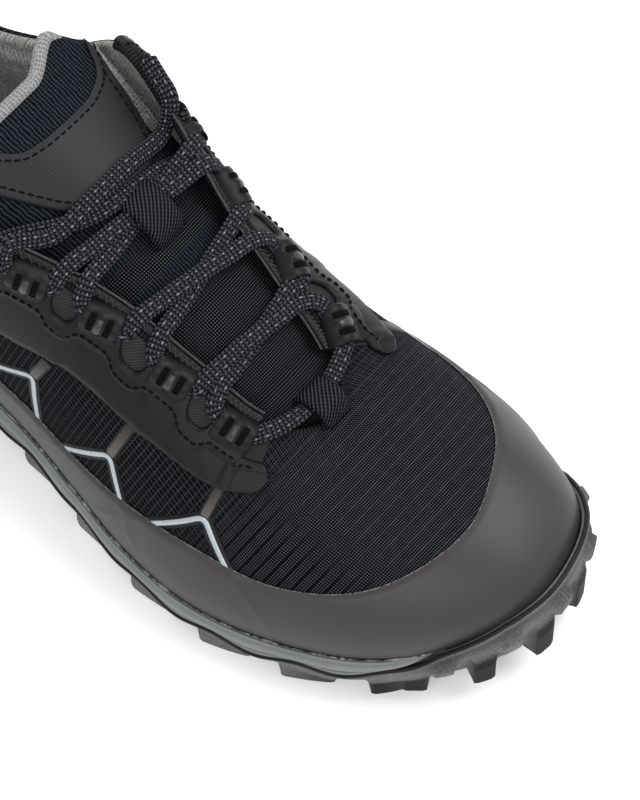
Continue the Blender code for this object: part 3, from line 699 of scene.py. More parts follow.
def make_stay(side, place):
    """The film with its fingers and windows, raised where the lines run on under it."""
    tip = STAY_TIPS[side]
    near_tip = tip - 0.002 * np.linspace(0, 1, 12) ** 2
    t = np.unique(np.concatenate([np.linspace(STAY_BACK, tip, 260), near_tip]))
    high, low = stay_limits(t, tip)
    share = np.concatenate([(0, 0.03), np.linspace(0.08, 0.92, 44), (0.97, 1.0)])
    back = high[:, None] + (low - high)[:, None] * share
    layer = 0.5 * smooth(0.4, -0.4, back - seam_line(t)[:, None] - 1.0)
    edge = np.minimum(smooth(0, 0.08, share), smooth(1, 0.92, share))
    ridge = np.zeros(back.shape)
    for fork, arm, *_ in LINE_NODES:
        across = (t - arm[0] - (arm[0] - fork[0]) * 0.5) * 2 * RUNS[TOE]
        ridge = np.maximum(ridge, np.exp(-(across / 2.4) ** 4)[:, None] * smooth(9, 13, back))
    outer, _ = below_top(place(t), back, GAP + STAY * (0.45 + 0.55 * edge) + 0.4 * ridge + layer)
    inner, _ = below_top(place(t), back, 0.1)
    stay = piece(f"eyestay_film_{side}", *shell(outer, inner, closed=False), [film_black])
    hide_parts(f"eyestay_{side}")


# Nylon webbing under the windows: dark grey, with fine slanted ribs.
RIB = 1.0
webbing_grey, add, shader = new_material("ribbed_nylon_webbing", "#252526", 0.6, Specular_IOR_Level=0.2)
places = add("Attribute", attribute_name="cloth").outputs["Vector"]
ribs = add(
    "TexWave", {"Vector": places, "Scale": 2 * np.pi / RIB / 10, "Distortion": 0.2},
    bands_direction="DIAGONAL",
)
tone = add("Mix", {0: ribs.outputs["Fac"], 6: "#101011", 7: "#2c2c2d"}, data_type="RGBA")
bump = add("Bump", {"Height": ribs.outputs["Fac"], "Strength": 0.5, "Distance": 0.2 * MM})
plug(shader, {"Base Color": tone, "Normal": bump})


def make_window_webbing(side, place):
    """The strip that shows in the windows."""
    t = np.linspace(STAY_BACK + 0.002, STAY_TIPS[side] - 0.008, 200)
    back = np.broadcast_to(np.linspace(0.8, 13, 8), (len(t), 8))
    outer, _ = below_top(place(t), back, 0.55)
    inner, _ = below_top(place(t), back, 0.05)
    points, faces = shell(outer, inner, closed=False)
    along = np.broadcast_to(t[:, None] * 2 * RUNS[TOE], back.shape)
    cloth = np.stack([along, back, 0 * back], -1)
    cloth = np.concatenate([cloth, cloth[:, ::-1]], axis=1)
    strip = piece(f"window_webbing_{side}", points, faces, [webbing_grey], cloth=cloth)


# Bonded polyester thread: black, slightly shiny, twisted.
thread, add, shader = new_material("black_bonded_thread", "#0c0c0d", 0.7, Specular_IOR_Level=0.06)
TWIST = 0.7
STAY_STITCH = (2.4, 1.7, 0.7)     # pitch, length and width
STITCH_ARCH = np.array((-0.6, 0.2, 0.35, 0.2, -0.6))     # heights along a stitch, of its width
where = add("TexCoord").outputs["Object"]
twist = add("TexNoise", {"Vector": where, "Scale": 1 / (TWIST * MM), "Detail": 1.0})
tone = add("Mix", {0: twist, 6: "#030304", 7: "#101012"}, data_type="RGBA")
plug(shader, {"Base Color": tone})


def oval(width, thick, sides):
    turn = np.arange(sides) * 2 * np.pi / sides
    return np.stack([np.cos(turn) * width / 2, np.sin(turn) * thick / 2], -1)


def along_path(at, run, points):
    """What some points give at other lengths along their path."""
    return np.stack([np.interp(at, run, points[:, k]) for k in range(points.shape[1])], axis=1)


def stitches(path, ups, pitch, length, width):
    """A row of stitches along a path: short threads that dip into the cloth at both ends."""
    run = running_length(path)
    parts = []
    for start in np.arange(pitch / 2, run[-1] - length, pitch):
        at = start + length * np.linspace(0, 1, 5)
        up = unit(along_path(at, run, ups))
        line = along_path(at, run, path) + up * (width * STITCH_ARCH)[:, None]
        parts.append(sweep(line, up, oval(width, width, 6)))
    return parts


def make_stay_seam(side, place):
    t = np.linspace(STAY_BACK + 0.003, STAY_TIPS[side] - 0.008, 500)
    path, up = below_top(place(t), seam_line(t)[:, None], GAP + STAY + 0.5)
    seam = joined(stitches(path[:, 0], up[:, 0], *STAY_STITCH))
    seam = piece(f"eyestay_seam_{side}", *seam, [thread])


SIDES = {"lateral": lambda t: t, "medial": other_side}
for side, place in SIDES.items():
    make_stay(side, place)
    make_window_webbing(side, place)
    make_stay_seam(side, place)


# Lace loops: the ends of the eyestay's fingers, folded over at the throat edge round the lace and
# held by two bar tacks each. The same film as the eyestay, five on each side.

LOOP_WIDTH = 11.8
LOOP_THICK = 1.0
LOOP_BACK = (13.0, 11.5, 9.8, 8.5, 7.4, 6.4, 5.0, 3.2, 1.4, 0.0, -0.9, -0.8)
LOOP_LIFT = (0.9, 1.2, 1.4, 1.6, 2.0, 2.9, 3.8, 4.1, 3.6, 2.2, 0.3, -2.4)
LOOP_CENTRE = (4.0, 0.5)  # point that the tunnel's film faces away from
TACKS = (-2.6, 2.6)       # places of the two bar tacks across a loop
TACK_RUN = (0.36, 0.61)   # stretch of the loop's curve that they fill
TACK_HALF = 0.8           # half width of a tack
PINCH = 0.45              # how far they pull the tunnel in
TACK_THREAD = (0.72, 0.7, 6)      # width, height and sides
GLEAM = 0.75              # half width of the stretched film between the tacks
GLEAM_RUN = (0.38, 0.6)   # stretch of the loop's curve that it fills
# loops that the picture shows smaller: their ends along the edge and the height of their tunnel
SMALL_LOOPS = {("medial", 4): (2.5, 7.0, 0.8), ("medial", 5): (-4.4, -0.4, 0.58)}


def rounded_strip(width, thick):
    half, flat, top = width / 2, width / 2 - thick * 0.6, thick / 2
    return [(-half, 0), (-flat, top), (flat, top), (half, 0), (flat, -top), (-flat, -top)]


def loop_frame(t, height):
    """A loop's curve from the eyestay over the edge, with the ways that point out of it."""
    times = np.full(1, t)
    rows = [below_top(times, back, lift * height) for back, lift in zip(LOOP_BACK, LOOP_LIFT)]
    path = smooth_path([points[0, 0] for points, _ in rows], 0.7)
    centre = below_top(times, *LOOP_CENTRE)[0][0, 0]
    return path, unit(path - centre)


# The same film where the tacks stretch it over the lace: smoother and shinier, and painted lighter as a
# painted highlight.
film_stretched_painted_highlight, add, shader = new_material("stretched_pu_film_painted_highlight", "#1a1a1b", 0.34, Specular_IOR_Level=0.5)
where = add("TexCoord").outputs["Object"]
crinkle = add("TexNoise", {"Vector": where, "Scale": 1 / (CRINKLE * MM), "Detail": 3.0})
tone = add("Mix", {0: crinkle, 6: "#121213", 7: "#2a2a2b"}, data_type="RGBA")
plug(shader, {"Base Color": tone})


def pinch(across, middle, share):
    """How far the film is pulled in or swells, across a loop and along its curve."""
    on_tunnel = smooth(0.28, 0.38, share) * smooth(0.74, 0.62, share)
    pulled = sum(np.exp(-((across - middle - at) / 0.9) ** 2) for at in TACKS)
    return (0.45 * np.exp(-((across - middle) / 1.1) ** 2) - PINCH * pulled) * on_tunnel


def make_loop(side, number, path, ups, ends):
    """The folded film, closed at its rim, with the pinched tunnel."""
    across = np.linspace(*ends, 33)
    middle = np.mean(ends)
    aside = 2 * (across - middle) / (ends[1] - ends[0])
    rim = np.sqrt(np.clip(1 - aside ** 6, 0.02, 1)) * LOOP_THICK / 2
    share = np.linspace(0, 1, len(path))[:, None]
    dent = pinch(across, middle, share)
    top = np.stack(np.broadcast_arrays(across, dent + rim), -1)
    under = np.stack(np.broadcast_arrays(across, dent - rim), -1)
    rows = np.concatenate([top, under[:, ::-1]], axis=1)
    points, faces = sweep(path, ups, rows)
    over = np.abs(rows[0, :, 0] - middle) < GLEAM
    over[len(across) - 1:] = False
    # faces of the stretched film between the tacks, painted lighter as a painted highlight
    painted_highlight_faces = over & ((share > GLEAM_RUN[0]) & (share < GLEAM_RUN[1]))
    finish_of = np.concatenate([painted_highlight_faces[:-1].ravel(), (False, False)])
    loop = piece(f"loop_{side}_{number}", points, faces, [film_black, film_stretched_painted_highlight], finish_of)
    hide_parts(f"lace_loop_{side}_{number}")


def bar_tacks(path, ups, centre):
    """Two bars of dense thread over the fold, side by side, each sewn to and fro."""
    run = running_length(path)
    along = unit(np.gradient(path, axis=0))
    parts = []
    for at in TACKS:
        for share in np.linspace(*TACK_RUN, 9):
            i = np.searchsorted(run, run[-1] * share)
            across = np.cross(ups[i], along[i])
            sunk = LOOP_THICK / 2 + pinch(centre + at, centre, i / len(path))
            thread_at = path[i] + across * (centre + at) + ups[i] * (sunk + 0.12)
            ends = np.linspace(-TACK_HALF, TACK_HALF, 5)[:, None] * across
            arch = np.array([0.1, 0.2, 0.25, 0.2, 0.1])[:, None] * ups[i]
            up = np.broadcast_to(ups[i], (5, 3))
            parts.append(sweep(thread_at + ends + arch, up, oval(*TACK_THREAD)))
    return parts


for side, place in SIDES.items():
    tacks = []
    for number, at in enumerate(LOOP_PLACES, start=1):
        *ends, height = SMALL_LOOPS.get((side, number), (-LOOP_WIDTH / 2, LOOP_WIDTH / 2, 1.0))
        path, ups = loop_frame(place(at), height)
        make_loop(side, number, path, ups, ends)
        tacks += bar_tacks(path, ups, np.mean(ends))
    tack = piece(f"bar_tacks_{side}", *joined(tacks), [thread])


# Throat binding: a rolled edge of dark knit tape round the throat, sewn over the raw edge. A flat
# film tape with a zigzag seam and a thin grey piping lie inside it, on each side of the tongue.

BINDING = 2.6
BINDING_SIDES = 10
KNIT_ROW = 1.1
# Knit binding tape: dull black polyester, with fine rows that run across the roll.
binding_knit, add, shader = new_material("black_knit_binding", "#2b2b2d", 0.8, Specular_IOR_Level=0.1)
places = add("Attribute", attribute_name="cloth").outputs["Vector"]
rows = add(
    "TexWave", {"Vector": places, "Scale": 2 * np.pi / KNIT_ROW / 20, "Distortion": 0.4},
    bands_direction="X",
)
tone = add("Mix", {0: rows.outputs["Fac"], 6: "#040405", 7: "#232325"}, data_type="RGBA")
bump = add("Bump", {"Height": rows.outputs["Fac"], "Strength": 0.6, "Distance": 0.25 * MM})
plug(shader, {"Base Color": tone, "Normal": bump})


def laid_out(along, across):
    """Places on the cloth of a swept strip, from its length and the offsets across it."""
    return np.stack(np.meshgrid(along, across, [0], indexing="ij"), -1)[:, :, 0]


t = np.linspace(STAY_BACK + 0.004, other_side(STAY_BACK + 0.004), 420)
path, up = below_top(t, 0.0, -WALL / 2)
points, faces = sweep(path[:, 0], up[:, 0], oval(BINDING, WALL + 0.9, BINDING_SIDES))
cloth = laid_out(running_length(path[:, 0]), np.arange(BINDING_SIDES) * 0.8)
throat_binding = piece("throat_binding", points, faces, [binding_knit], cloth=cloth)

# Grey polyester thread of the zigzag seam and the thin piping beside it.
thread_grey, add, shader = new_material("grey_bonded_thread", "#4a4a4d", 0.5, Specular_IOR_Level=0.2)
where = add("TexCoord").outputs["Object"]
twist = add("TexNoise", {"Vector": where, "Scale": 1 / (TWIST * MM), "Detail": 1.0})
tone = add("Mix", {0: twist, 6: "#19191b", 7: "#444447"}, data_type="RGBA")
plug(shader, {"Base Color": tone})

STRIP = 3.0              # flat tape that shows beside the loops, inside the binding
STRIP_BACK = -2.4
STRIP_START = {"lateral": 0.2025, "medial": 0.2215}     # as lateral places
STRIP_END = 0.345
STRIP_STEPS = 300
PIPING_BACK = STRIP_BACK - 2.1
ZIGZAG_THREAD = (0.4, 0.4, 6)     # width, height and sides
PIPING = (0.8, 0.8, 8)
for side, place in SIDES.items():
    t = place(np.linspace(STRIP_START[side], STRIP_END, STRIP_STEPS))
    path, up = below_top(t, STRIP_BACK, -0.2)
    strip = sweep(path[:, 0], up[:, 0], rounded_strip(STRIP, 0.9))
    strip = piece(f"throat_tape_{side}", *strip, [film_black])
    zigzag = np.abs(np.mod(np.arange(STRIP_STEPS) / 3.0, 2) - 1) * 2 - 1
    path, up = below_top(t, STRIP_BACK + zigzag[:, None], 0.3)
    cord, cord_up = below_top(t, PIPING_BACK, -0.3)
    parts = [
        sweep(path[:, 0], up[:, 0], oval(*ZIGZAG_THREAD)),
        sweep(cord[:, 0], cord_up[:, 0], oval(*PIPING)),
    ]
    zigzag_seam = piece(f"throat_seam_{side}", *joined(parts), [thread_grey])


# Tongue: foam between black mesh and lining, sewn in under the vamp. Bands of rib knit lie across
# it, its free edge is rolled in grey spacer knit, and seams pull it into soft padded bands.

Tongue = namedtuple("Tongue", "x y z half crown thick")
TONGUE = [
    Tongue(227, 3, 53, 16, 4, 3.5),
    Tongue(213, 3, 58.3, 19, 5, 4.5),
    Tongue(201, 2.8, 65.3, 22, 7, 5),
    Tongue(180, 3, 77.5, 26.6, 10, 6),
    Tongue(158, 3, 88.8, 27.9, 10.5, 6.5),
    Tongue(137, 2.2, 98.8, 29.7, 11, 7),
    Tongue(113, 1.5, 110, 32, 11.5, 7.5),
    Tongue(98, 1, 118, 31.5, 10, 6.5),
]
CREASES = (0.30, 0.485, 0.60, 0.735)     # seams across, as shares of the tongue's length
CREASE_HALF = 0.012
CREASE_DEPTH = 1.3
END_SINK = 1.6           # how far the cloth sinks to the rolled edge
RIB_BANDS = ((0.485, 0.56), (0.61, 1.1))
BAND_SOFT = 0.004
PLAIN_END = 0.6          # up to here the cloth's rows lie straight across
KNIT_SIDE = [(0.80, 0.80), (0.92, 0.865), (1.0, 0.95)]     # grey knit of the far edge, up to this line
TONGUE_HALF = 28.0            # half width that the cloth's pattern is laid out on


def tongue_column(name, s):
    """One column of the tongue's table at s."""
    return hermite(np.linspace(0, 1, len(TONGUE)), [getattr(row, name) for row in TONGUE], s)


def tongue_face(s, c):
    """Upper face of the tongue, s from the vamp to the free end and c across it."""
    s, c = np.broadcast_arrays(np.asarray(s, float), np.asarray(c, float))
    read = {name: tongue_column(name, s) for name in Tongue._fields}
    step = 1e-3
    ahead, behind = np.clip(s + step, 0, 1), np.clip(s - step, 0, 1)
    dx, dz = (tongue_column(name, ahead) - tongue_column(name, behind) for name in "xz")
    up = unit(np.stack([dz, 0 * dx, -dx], -1))
    spread = smooth(0.66, 0.82, s) * (c > 0)
    middle = np.stack([read["x"], read["y"] + c * read["half"], read["z"]], -1)
    return middle - up * (read["crown"] * (1 - 0.22 * spread) * c * c)[..., None], up, read["thick"]


def tongue_end(c):
    """Free end of the tongue: scooped in the middle, with rounded corners."""
    return 0.943 + 0.058 * smooth(0.24, 0.72, np.abs(c)) - 0.075 * smooth(0.72, 1.0, np.abs(c))


def tongue_run(s):
    """Length in mm along the tongue's middle."""
    even = np.linspace(0, 1, 200)
    return np.interp(s, even, running_length(tongue_face(even, 0 * even)[0]))


# Tongue mesh and rib knit: black polyester with a fine square weave, and bands of navy-black
# ribs that run along the foot.
MESH_PITCH = 0.8         # drawn a little coarse, so that the weave shows
RIB_PITCH = 1.05
WANDER = 2.0             # length over which a rib strays
tongue_cloth, add, shader = new_material(
    "black_mesh_and_rib_knit", "#141518", 0.82, Specular_IOR_Level=0.03
)
places = add("Attribute", attribute_name="cloth").outputs["Vector"]
split = add("SeparateXYZ", {0: places})
weave = []
for axis in "XY":
    wave = add("Math", {0: split.outputs[axis], 1: 2 * np.pi / MESH_PITCH}, operation="MULTIPLY")
    wave = add("Math", {0: wave}, operation="COSINE")
    weave.append(add("MapRange", {0: wave, 1: -0.6, 2: 1.0}))
mesh_dots = add("Math", {0: weave[0], 1: weave[1]}, operation="MULTIPLY")
wander = add("TexNoise", {"Vector": places, "Scale": 1 / WANDER, "Detail": 3.0})
wander = add("Math", {0: wander, 1: 1.1}, operation="MULTIPLY")
rib_wave = add("Math", {0: split.outputs["Y"], 1: wander}, operation="ADD")
rib_wave = add("Math", {0: rib_wave, 1: 2 * np.pi / RIB_PITCH}, operation="MULTIPLY")
rib_wave = add("Math", {0: rib_wave}, operation="COSINE")
rib_rows = add("MapRange", {0: rib_wave, 1: -0.9, 2: 1.0})
stitch = add("MapRange", {0: weave[0], 3: 0.4, 4: 1.0})
rib_rows = add("Math", {0: rib_rows, 1: stitch}, operation="MULTIPLY")
height = add("Mix", {0: split.outputs["Z"], 2: mesh_dots, 3: rib_rows}, data_type="FLOAT")
mesh_tone = add("Mix", {0: mesh_dots, 6: "#030304", 7: "#56575d"}, data_type="RGBA")
rib_tone = add("Mix", {0: rib_rows, 6: "#030405", 7: "#323840"}, data_type="RGBA")
tone = add("Mix", {0: split.outputs["Z"], 6: mesh_tone, 7: rib_tone}, data_type="RGBA")
bump = add("Bump", {"Height": height, "Strength": 0.7, "Distance": 0.3 * MM})
plug(shader, {"Base Color": tone, "Normal": bump})


def make_tongue():
    """The padded cloth, creased at its seams, with the lining under it and along its far edge."""
    s = np.linspace(0, 1, 200)[:, None]
    c = np.linspace(-1, 1, 61)[None, :]
    drawn_in = PLAIN_END + (s - PLAIN_END) * (tongue_end(c) - PLAIN_END) / (1 - PLAIN_END)
    s = np.where(s < PLAIN_END, s, drawn_in)
    face, up, thick = tongue_face(s, c)
    crease = np.zeros(s.shape)
    for at in CREASES:
        crease = np.maximum(crease, np.exp(-((s - at) / CREASE_HALF) ** 2))
    edge = 1 - 0.6 * np.abs(c) ** 4
    roll = smooth(0, 0.03, tongue_end(c) - s)
    upper_face = face - up * (CREASE_DEPTH * crease * (1 - c ** 6) + END_SINK * (1 - roll))[..., None]
    under_face = face - up * (thick * edge * (0.45 + 0.55 * roll))[..., None]
    points, faces = shell(upper_face, under_face, closed=False)
    rows = 2 * c.size
    in_band = np.zeros(s.shape)
    for low, high in RIB_BANDS:
        begun = smooth(low - BAND_SOFT, low + BAND_SOFT, s)
        ended = smooth(high - BAND_SOFT, high + BAND_SOFT, s)
        in_band = np.maximum(in_band, begun * (1 - ended))
    cloth = np.stack(np.broadcast_arrays(tongue_run(s), c * TONGUE_HALF, in_band), -1)
    cloth = np.concatenate([cloth, cloth[:, ::-1]], axis=1)
    row_of = np.tile(np.arange(rows - 1), len(s) - 1)
    inside = np.zeros(len(faces), int)
    far_edge = (c > KNIT_SIDE[0][0]) & (s > CREASES[-1])
    far_edge = far_edge & (s < np.interp(c, *np.transpose(KNIT_SIDE)))
    far_edge = np.concatenate([far_edge, np.zeros_like(far_edge)], axis=1)[:-1, :-1]
    inside[:len(row_of)] = (row_of >= c.size) | far_edge.ravel()
    tongue = piece("tongue_pad", points, faces, [tongue_cloth, lining], inside, cloth)
    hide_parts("tongue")


make_tongue()

# Rolled edge of grey spacer knit round the tongue's free end, tucked behind the cloth on its far half.
ROLL_SIDES = 14
ROLL_WIDTH = 4.4
ROLL_HEIGHT = 5.4
c = np.linspace(-1, 1, 90)
tuck = smooth(0.68, 0.82, c)
face, up, _ = tongue_face(tongue_end(c) - 0.006 - 0.03 * tuck, c)
roll = oval(ROLL_WIDTH, ROLL_HEIGHT, ROLL_SIDES)
points, faces = sweep(face - up * (2.2 + 2.0 * tuck)[:, None], up, roll)
cloth = laid_out(c * 30, np.arange(ROLL_SIDES) * 1.2)
tongue_edge = piece("tongue_edge_roll", points, faces, [lining], cloth=cloth)


# Tongue panel: a smooth film patch below the free end, open like a U round the rib knit and sewn
# along its edges.

PANEL = 1.0
PANEL_ROUND = np.linspace(-0.07, 0.07, 9)     # steps over which an edge's corners are evened out
PANEL_SIDES = (-0.97, 0.965)
PANEL_STITCH = (2.6, 1.9, 0.6)                # pitch, length and width
# edges as places across the tongue and along it
PANEL_FOOT = [
    (-0.97, 0.93), (-0.67, 0.822), (-0.52, 0.772), (-0.38, 0.736), (-0.2, 0.712), (0.15, 0.70),
    (0.53, 0.698), (0.73, 0.715), (0.83, 0.75), (0.92, 0.822), (0.965, 0.915),
]
PANEL_ARC = [
    (-0.97, 0.97), (-0.7, 0.945), (-0.41, 0.876), (-0.30, 0.846), (-0.08, 0.837), (0.21, 0.834),
    (0.52, 0.834), (0.77, 0.85), (0.87, 0.875), (0.92, 0.905), (0.965, 0.945),
]

# Polyurethane film with fine moulded grooves along the foot.
RULE = 0.9
panel_film, add, shader = new_material("grooved_pu_film", "#2a2a2d", 0.5, Specular_IOR_Level=0.22)
places = add("Attribute", attribute_name="cloth").outputs["Vector"]
grooves = add(
    "TexWave", {"Vector": places, "Scale": 2 * np.pi / RULE / 20},
    bands_direction="Y",
)
tone = add("Mix", {0: grooves.outputs["Fac"], 6: "#17171a", 7: "#202023"}, data_type="RGBA")
bump = add("Bump", {"Height": grooves.outputs["Fac"], "Strength": 0.2, "Distance": 0.12 * MM})
plug(shader, {"Base Color": tone, "Normal": bump})


def panel_edge(line, c):
    """An edge of the panel at c, with its corners rounded."""
    near = [np.interp(c + step, *np.transpose(line)) for step in PANEL_ROUND]
    return np.mean(near, axis=0)


c = np.linspace(*PANEL_SIDES, 200)[:, None]
share = np.concatenate([(0, 0.02), np.linspace(0.06, 0.94, 20), (0.98, 1.0)])[None, :]
high = np.minimum(panel_edge(PANEL_ARC, c), tongue_end(c) - 0.014)
low = np.minimum(panel_edge(PANEL_FOOT, c), high - 0.01)
s = low + (high - low) * share
edge = np.minimum(smooth(0, 0.06, share), smooth(1, 0.94, share)) * np.ones_like(c)
face, up, _ = tongue_face(s, c)
outer = face + up * (GAP + PANEL * (0.4 + 0.6 * edge))[..., None]
inner = face - up * 0.3
cloth = np.stack(np.broadcast_arrays(tongue_run(s), c * TONGUE_HALF, 0 * s), -1)
cloth = np.concatenate([cloth, cloth[:, ::-1]], axis=1)
panel = piece("tongue_panel_film", *shell(outer, inner, closed=False), [panel_film], cloth=cloth)
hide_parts("tongue_panel")


def panel_seam_line(line, inside):
    """Places on the tongue at a distance inside an edge of the panel."""
    c = np.linspace(-0.94, 0.93, 300)
    flat = np.stack([c * TONGUE_HALF, tongue_run(panel_edge(line, c))], -1)
    along = unit(np.gradient(flat, axis=0))
    flat = flat + np.stack([-along[:, 1], along[:, 0]], -1) * inside
    even = np.linspace(0, 1, 300)
    return np.interp(flat[:, 1], tongue_run(even), even), flat[:, 0] / TONGUE_HALF


seams = []
SEAMS_INSIDE = ((PANEL_FOOT, 2.2), (PANEL_ARC, -2.0))
for line, inside in SEAMS_INSIDE:
    path, up, _ = tongue_face(*panel_seam_line(line, inside))
    seams += stitches(path + up * (GAP + PANEL), up, *PANEL_STITCH)
panel_seam = piece("tongue_panel_seam", *joined(seams), [thread])


# Webbing loops: black nylon tape folded round the lace, one on the tongue and one at the foot of
# the throat, both sewn down at their ends.

TONGUE_TAPE = (12.0, 1.4)     # width and thickness
VAMP_TAPE = (10.4, 1.3)

# Nylon webbing: black, with nubs of yarn in slanted rows.
NUB = 1.5                # drawn a little coarse, so that the weave shows
webbing_black, add, shader = new_material("black_nylon_webbing", "#121213", 0.65, Specular_IOR_Level=0.06)
places = add("Attribute", attribute_name="cloth").outputs["Vector"]
split = add("SeparateXYZ", {0: places})
slants = []
for sign in ("ADD", "SUBTRACT"):
    slant = add("Math", {0: split.outputs["X"], 1: split.outputs["Y"]}, operation=sign)
    slant = add("Math", {0: slant, 1: 2 * np.pi / NUB}, operation="MULTIPLY")
    slants.append(add("Math", {0: slant}, operation="SINE"))
breaks = add("Math", {0: slants[1], 1: 0.3}, operation="MULTIPLY")
nubs = add("Math", {0: slants[0], 1: breaks}, operation="ADD")
nubs = add("MapRange", {0: nubs, 1: -0.6, 2: 1.2})
tone = add("Mix", {0: nubs, 6: "#010102", 7: "#38383d"}, data_type="RGBA")
bump = add("Bump", {"Height": nubs, "Strength": 0.8, "Distance": 0.3 * MM})
plug(shader, {"Base Color": tone, "Normal": bump})


def webbing_loop(name, node, path, ups, width, thick):
    """A flat tape along a curve, with rounded edges."""
    path = smooth_path(path, 0.8)
    even, given = np.linspace(0, 1, len(path)), np.linspace(0, 1, len(ups))
    ups = unit(along_path(even, given, ups))
    across = np.linspace(-width / 2, width / 2, 9)
    dome = np.sqrt(np.clip(1 - (2 * across / width) ** 8, 0, 1)) * thick / 2
    profile = np.concatenate([np.stack([across, dome], 1), np.stack([across[::-1], -dome[::-1]], 1)[1:-1]])
    points, faces = sweep(path, ups, profile)
    cloth = laid_out(running_length(path), profile[:, 0])
    loop = piece(name, points, faces, [webbing_black], cloth=cloth)
    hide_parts(node)


s = 0.646 + np.array([-0.058, -0.046, -0.024, 0, 0.024, 0.042, 0.054])
face, up, _ = tongue_face(s, np.full(s.shape, 0.13))
lift = np.array([0.2, 2.8, 5.2, 5.9, 5.4, 3.2, 0.2])
webbing_loop("tongue_webbing", "tongue_loop", face + up * lift[:, None], up, *TONGUE_TAPE)

reach = np.array([-1.8, -0.6, 0.8, 3.2, 5.8, 8.4, 10.2, 11.2])
rise = np.array([0.2, 3.0, 5.2, 5.9, 5.5, 4.7, 2.8, 0.4])
start = skin(np.array([PLACES[TOE]]), np.array([1.0]))[0]
path = start + np.stack([-reach, np.full(8, 1.5), rise], 1)
path[0, 2] = start[2] - 0.6
tilt = np.linspace(0.9, -1.0, 8)
ups = np.stack([np.sin(tilt), 0 * tilt, np.cos(tilt)], 1)
webbing_loop("vamp_webbing", "vamp_loop", path, ups, *VAMP_TAPE)


# Lace: one flat woven polyester cord, black with white flecks. It starts in the vamp's webbing,
# runs through the loops and crosses over the tongue between them, and ends in the top loops.

LACE_WIDTH = 5.2
LACE_THICK = 2.1
LACE_LIFT = 2.0          # middle of the lace above the skin inside a loop
LACE_BAR = ((210.2, 1.5, 64.5), (-0.25, 0, 1.0))     # in the vamp's webbing, and the way it faces
# points near a loop: ahead towards the toe, back from the throat edge, lifted off the skin
REACH = (8.2, -2.5, 1.6)
IN_LOOP = [(7.2, 1.8, 2.0), (4.5, 3.2, LACE_LIFT), (-4.5, 3.2, LACE_LIFT), (-7.2, 1.8, 2.0)]
IN_TOP_LOOP = IN_LOOP[:2] + [(-2.6, 3.2, 1.3)]
LEAVE = (-8.2, -2.5, 1.6)
# and near the short loop, where the lace turns back on itself
SHORT_LOOP = ("medial", 4)
SHORT_REACH = (9.4, -2.5, 1.6)
IN_SHORT_LOOP = [(8.2, 1.8, 2.0), (6.5, 3.2, LACE_LIFT), (1.4, 2.6, LACE_LIFT)]
SHORT_LEAVE = (-1.6, 0.4, 2.6)
FAR_EDGE = [(-4.0, -6.5, 1.6), (-9.0, -6.0, 1.6), (-14.0, -5.0, 1.6)]     # on along the far edge


def top_speed(t):
    """Length of the top edge for a unit of t, for places given in mm along it."""
    step = 1e-4
    return np.linalg.norm(skin(t + step, 1.0) - skin(t - step, 1.0)) / (2 * step)


def lace_point(side, number, ahead, back, lift):
    """A point near a loop: ahead towards the toe, back from the throat edge, lifted off the skin."""
    t = SIDES[side](LOOP_PLACES[number - 1])
    towards_toe = 1 if side == "lateral" else -1
    t = t + towards_toe * ahead / top_speed(np.float64(t))
    points, normal = below_top(np.array([t]), back, lift)
    return points[0, 0], normal[0, 0]


def tongue_normal(s, c):
    step = 1e-3
    across = tongue_face(s, c + step)[0] - tongue_face(s, c - step)[0]
    along = tongue_face(s + step, c)[0] - tongue_face(s - step, c)[0]
    return unit(np.cross(across, along))


def over_tongue(start, end, share, over):
    """A point on the way over the tongue, resting on it or on the strand that crosses below."""
    point = start + (end - start) * share
    s = np.linspace(0.02, 0.98, 400)
    middle = tongue_face(s, 0 * s)[0]
    s = s[np.argmin(np.abs(middle[:, 0] - point[0]))]
    rows = np.linspace(0, 1, len(TONGUE))
    half, centre = (np.interp(s, rows, [getattr(row, name) for row in TONGUE]) for name in ("half", "y"))
    c = np.clip((point[1] - centre) / half, -1, 1)
    rest = tongue_face(s, c)[0]
    way = tongue_normal(s, c)
    on_panel = PANEL + GAP if s > panel_edge(PANEL_FOOT, c) - 0.03 else 0.0
    clear = (LACE_THICK / 2 + 0.3 + on_panel) / way[2]
    point[2] = max(point[2], rest[2] + clear) + over
    return point, way


TOP_CROSSINGS = {
    # places on the tongue (along, across) under the last crossing to each side
    "medial": [(0.730, -0.61), (0.727, -0.21), (0.727, 0.28), (0.727, 0.78)],
    "lateral": [(0.672, 0.86), (0.684, 0.48), (0.696, 0.05), (0.708, -0.25), (0.73, -0.5), (0.764, -0.78)],
}


def on_tongue(s, c, over):
    """A point of the lace on the tongue at a known place."""
    way = tongue_normal(s, c)
    return tongue_face(s, c)[0] + way * (LACE_THICK / 2 + 0.3 + PANEL + GAP + over), way


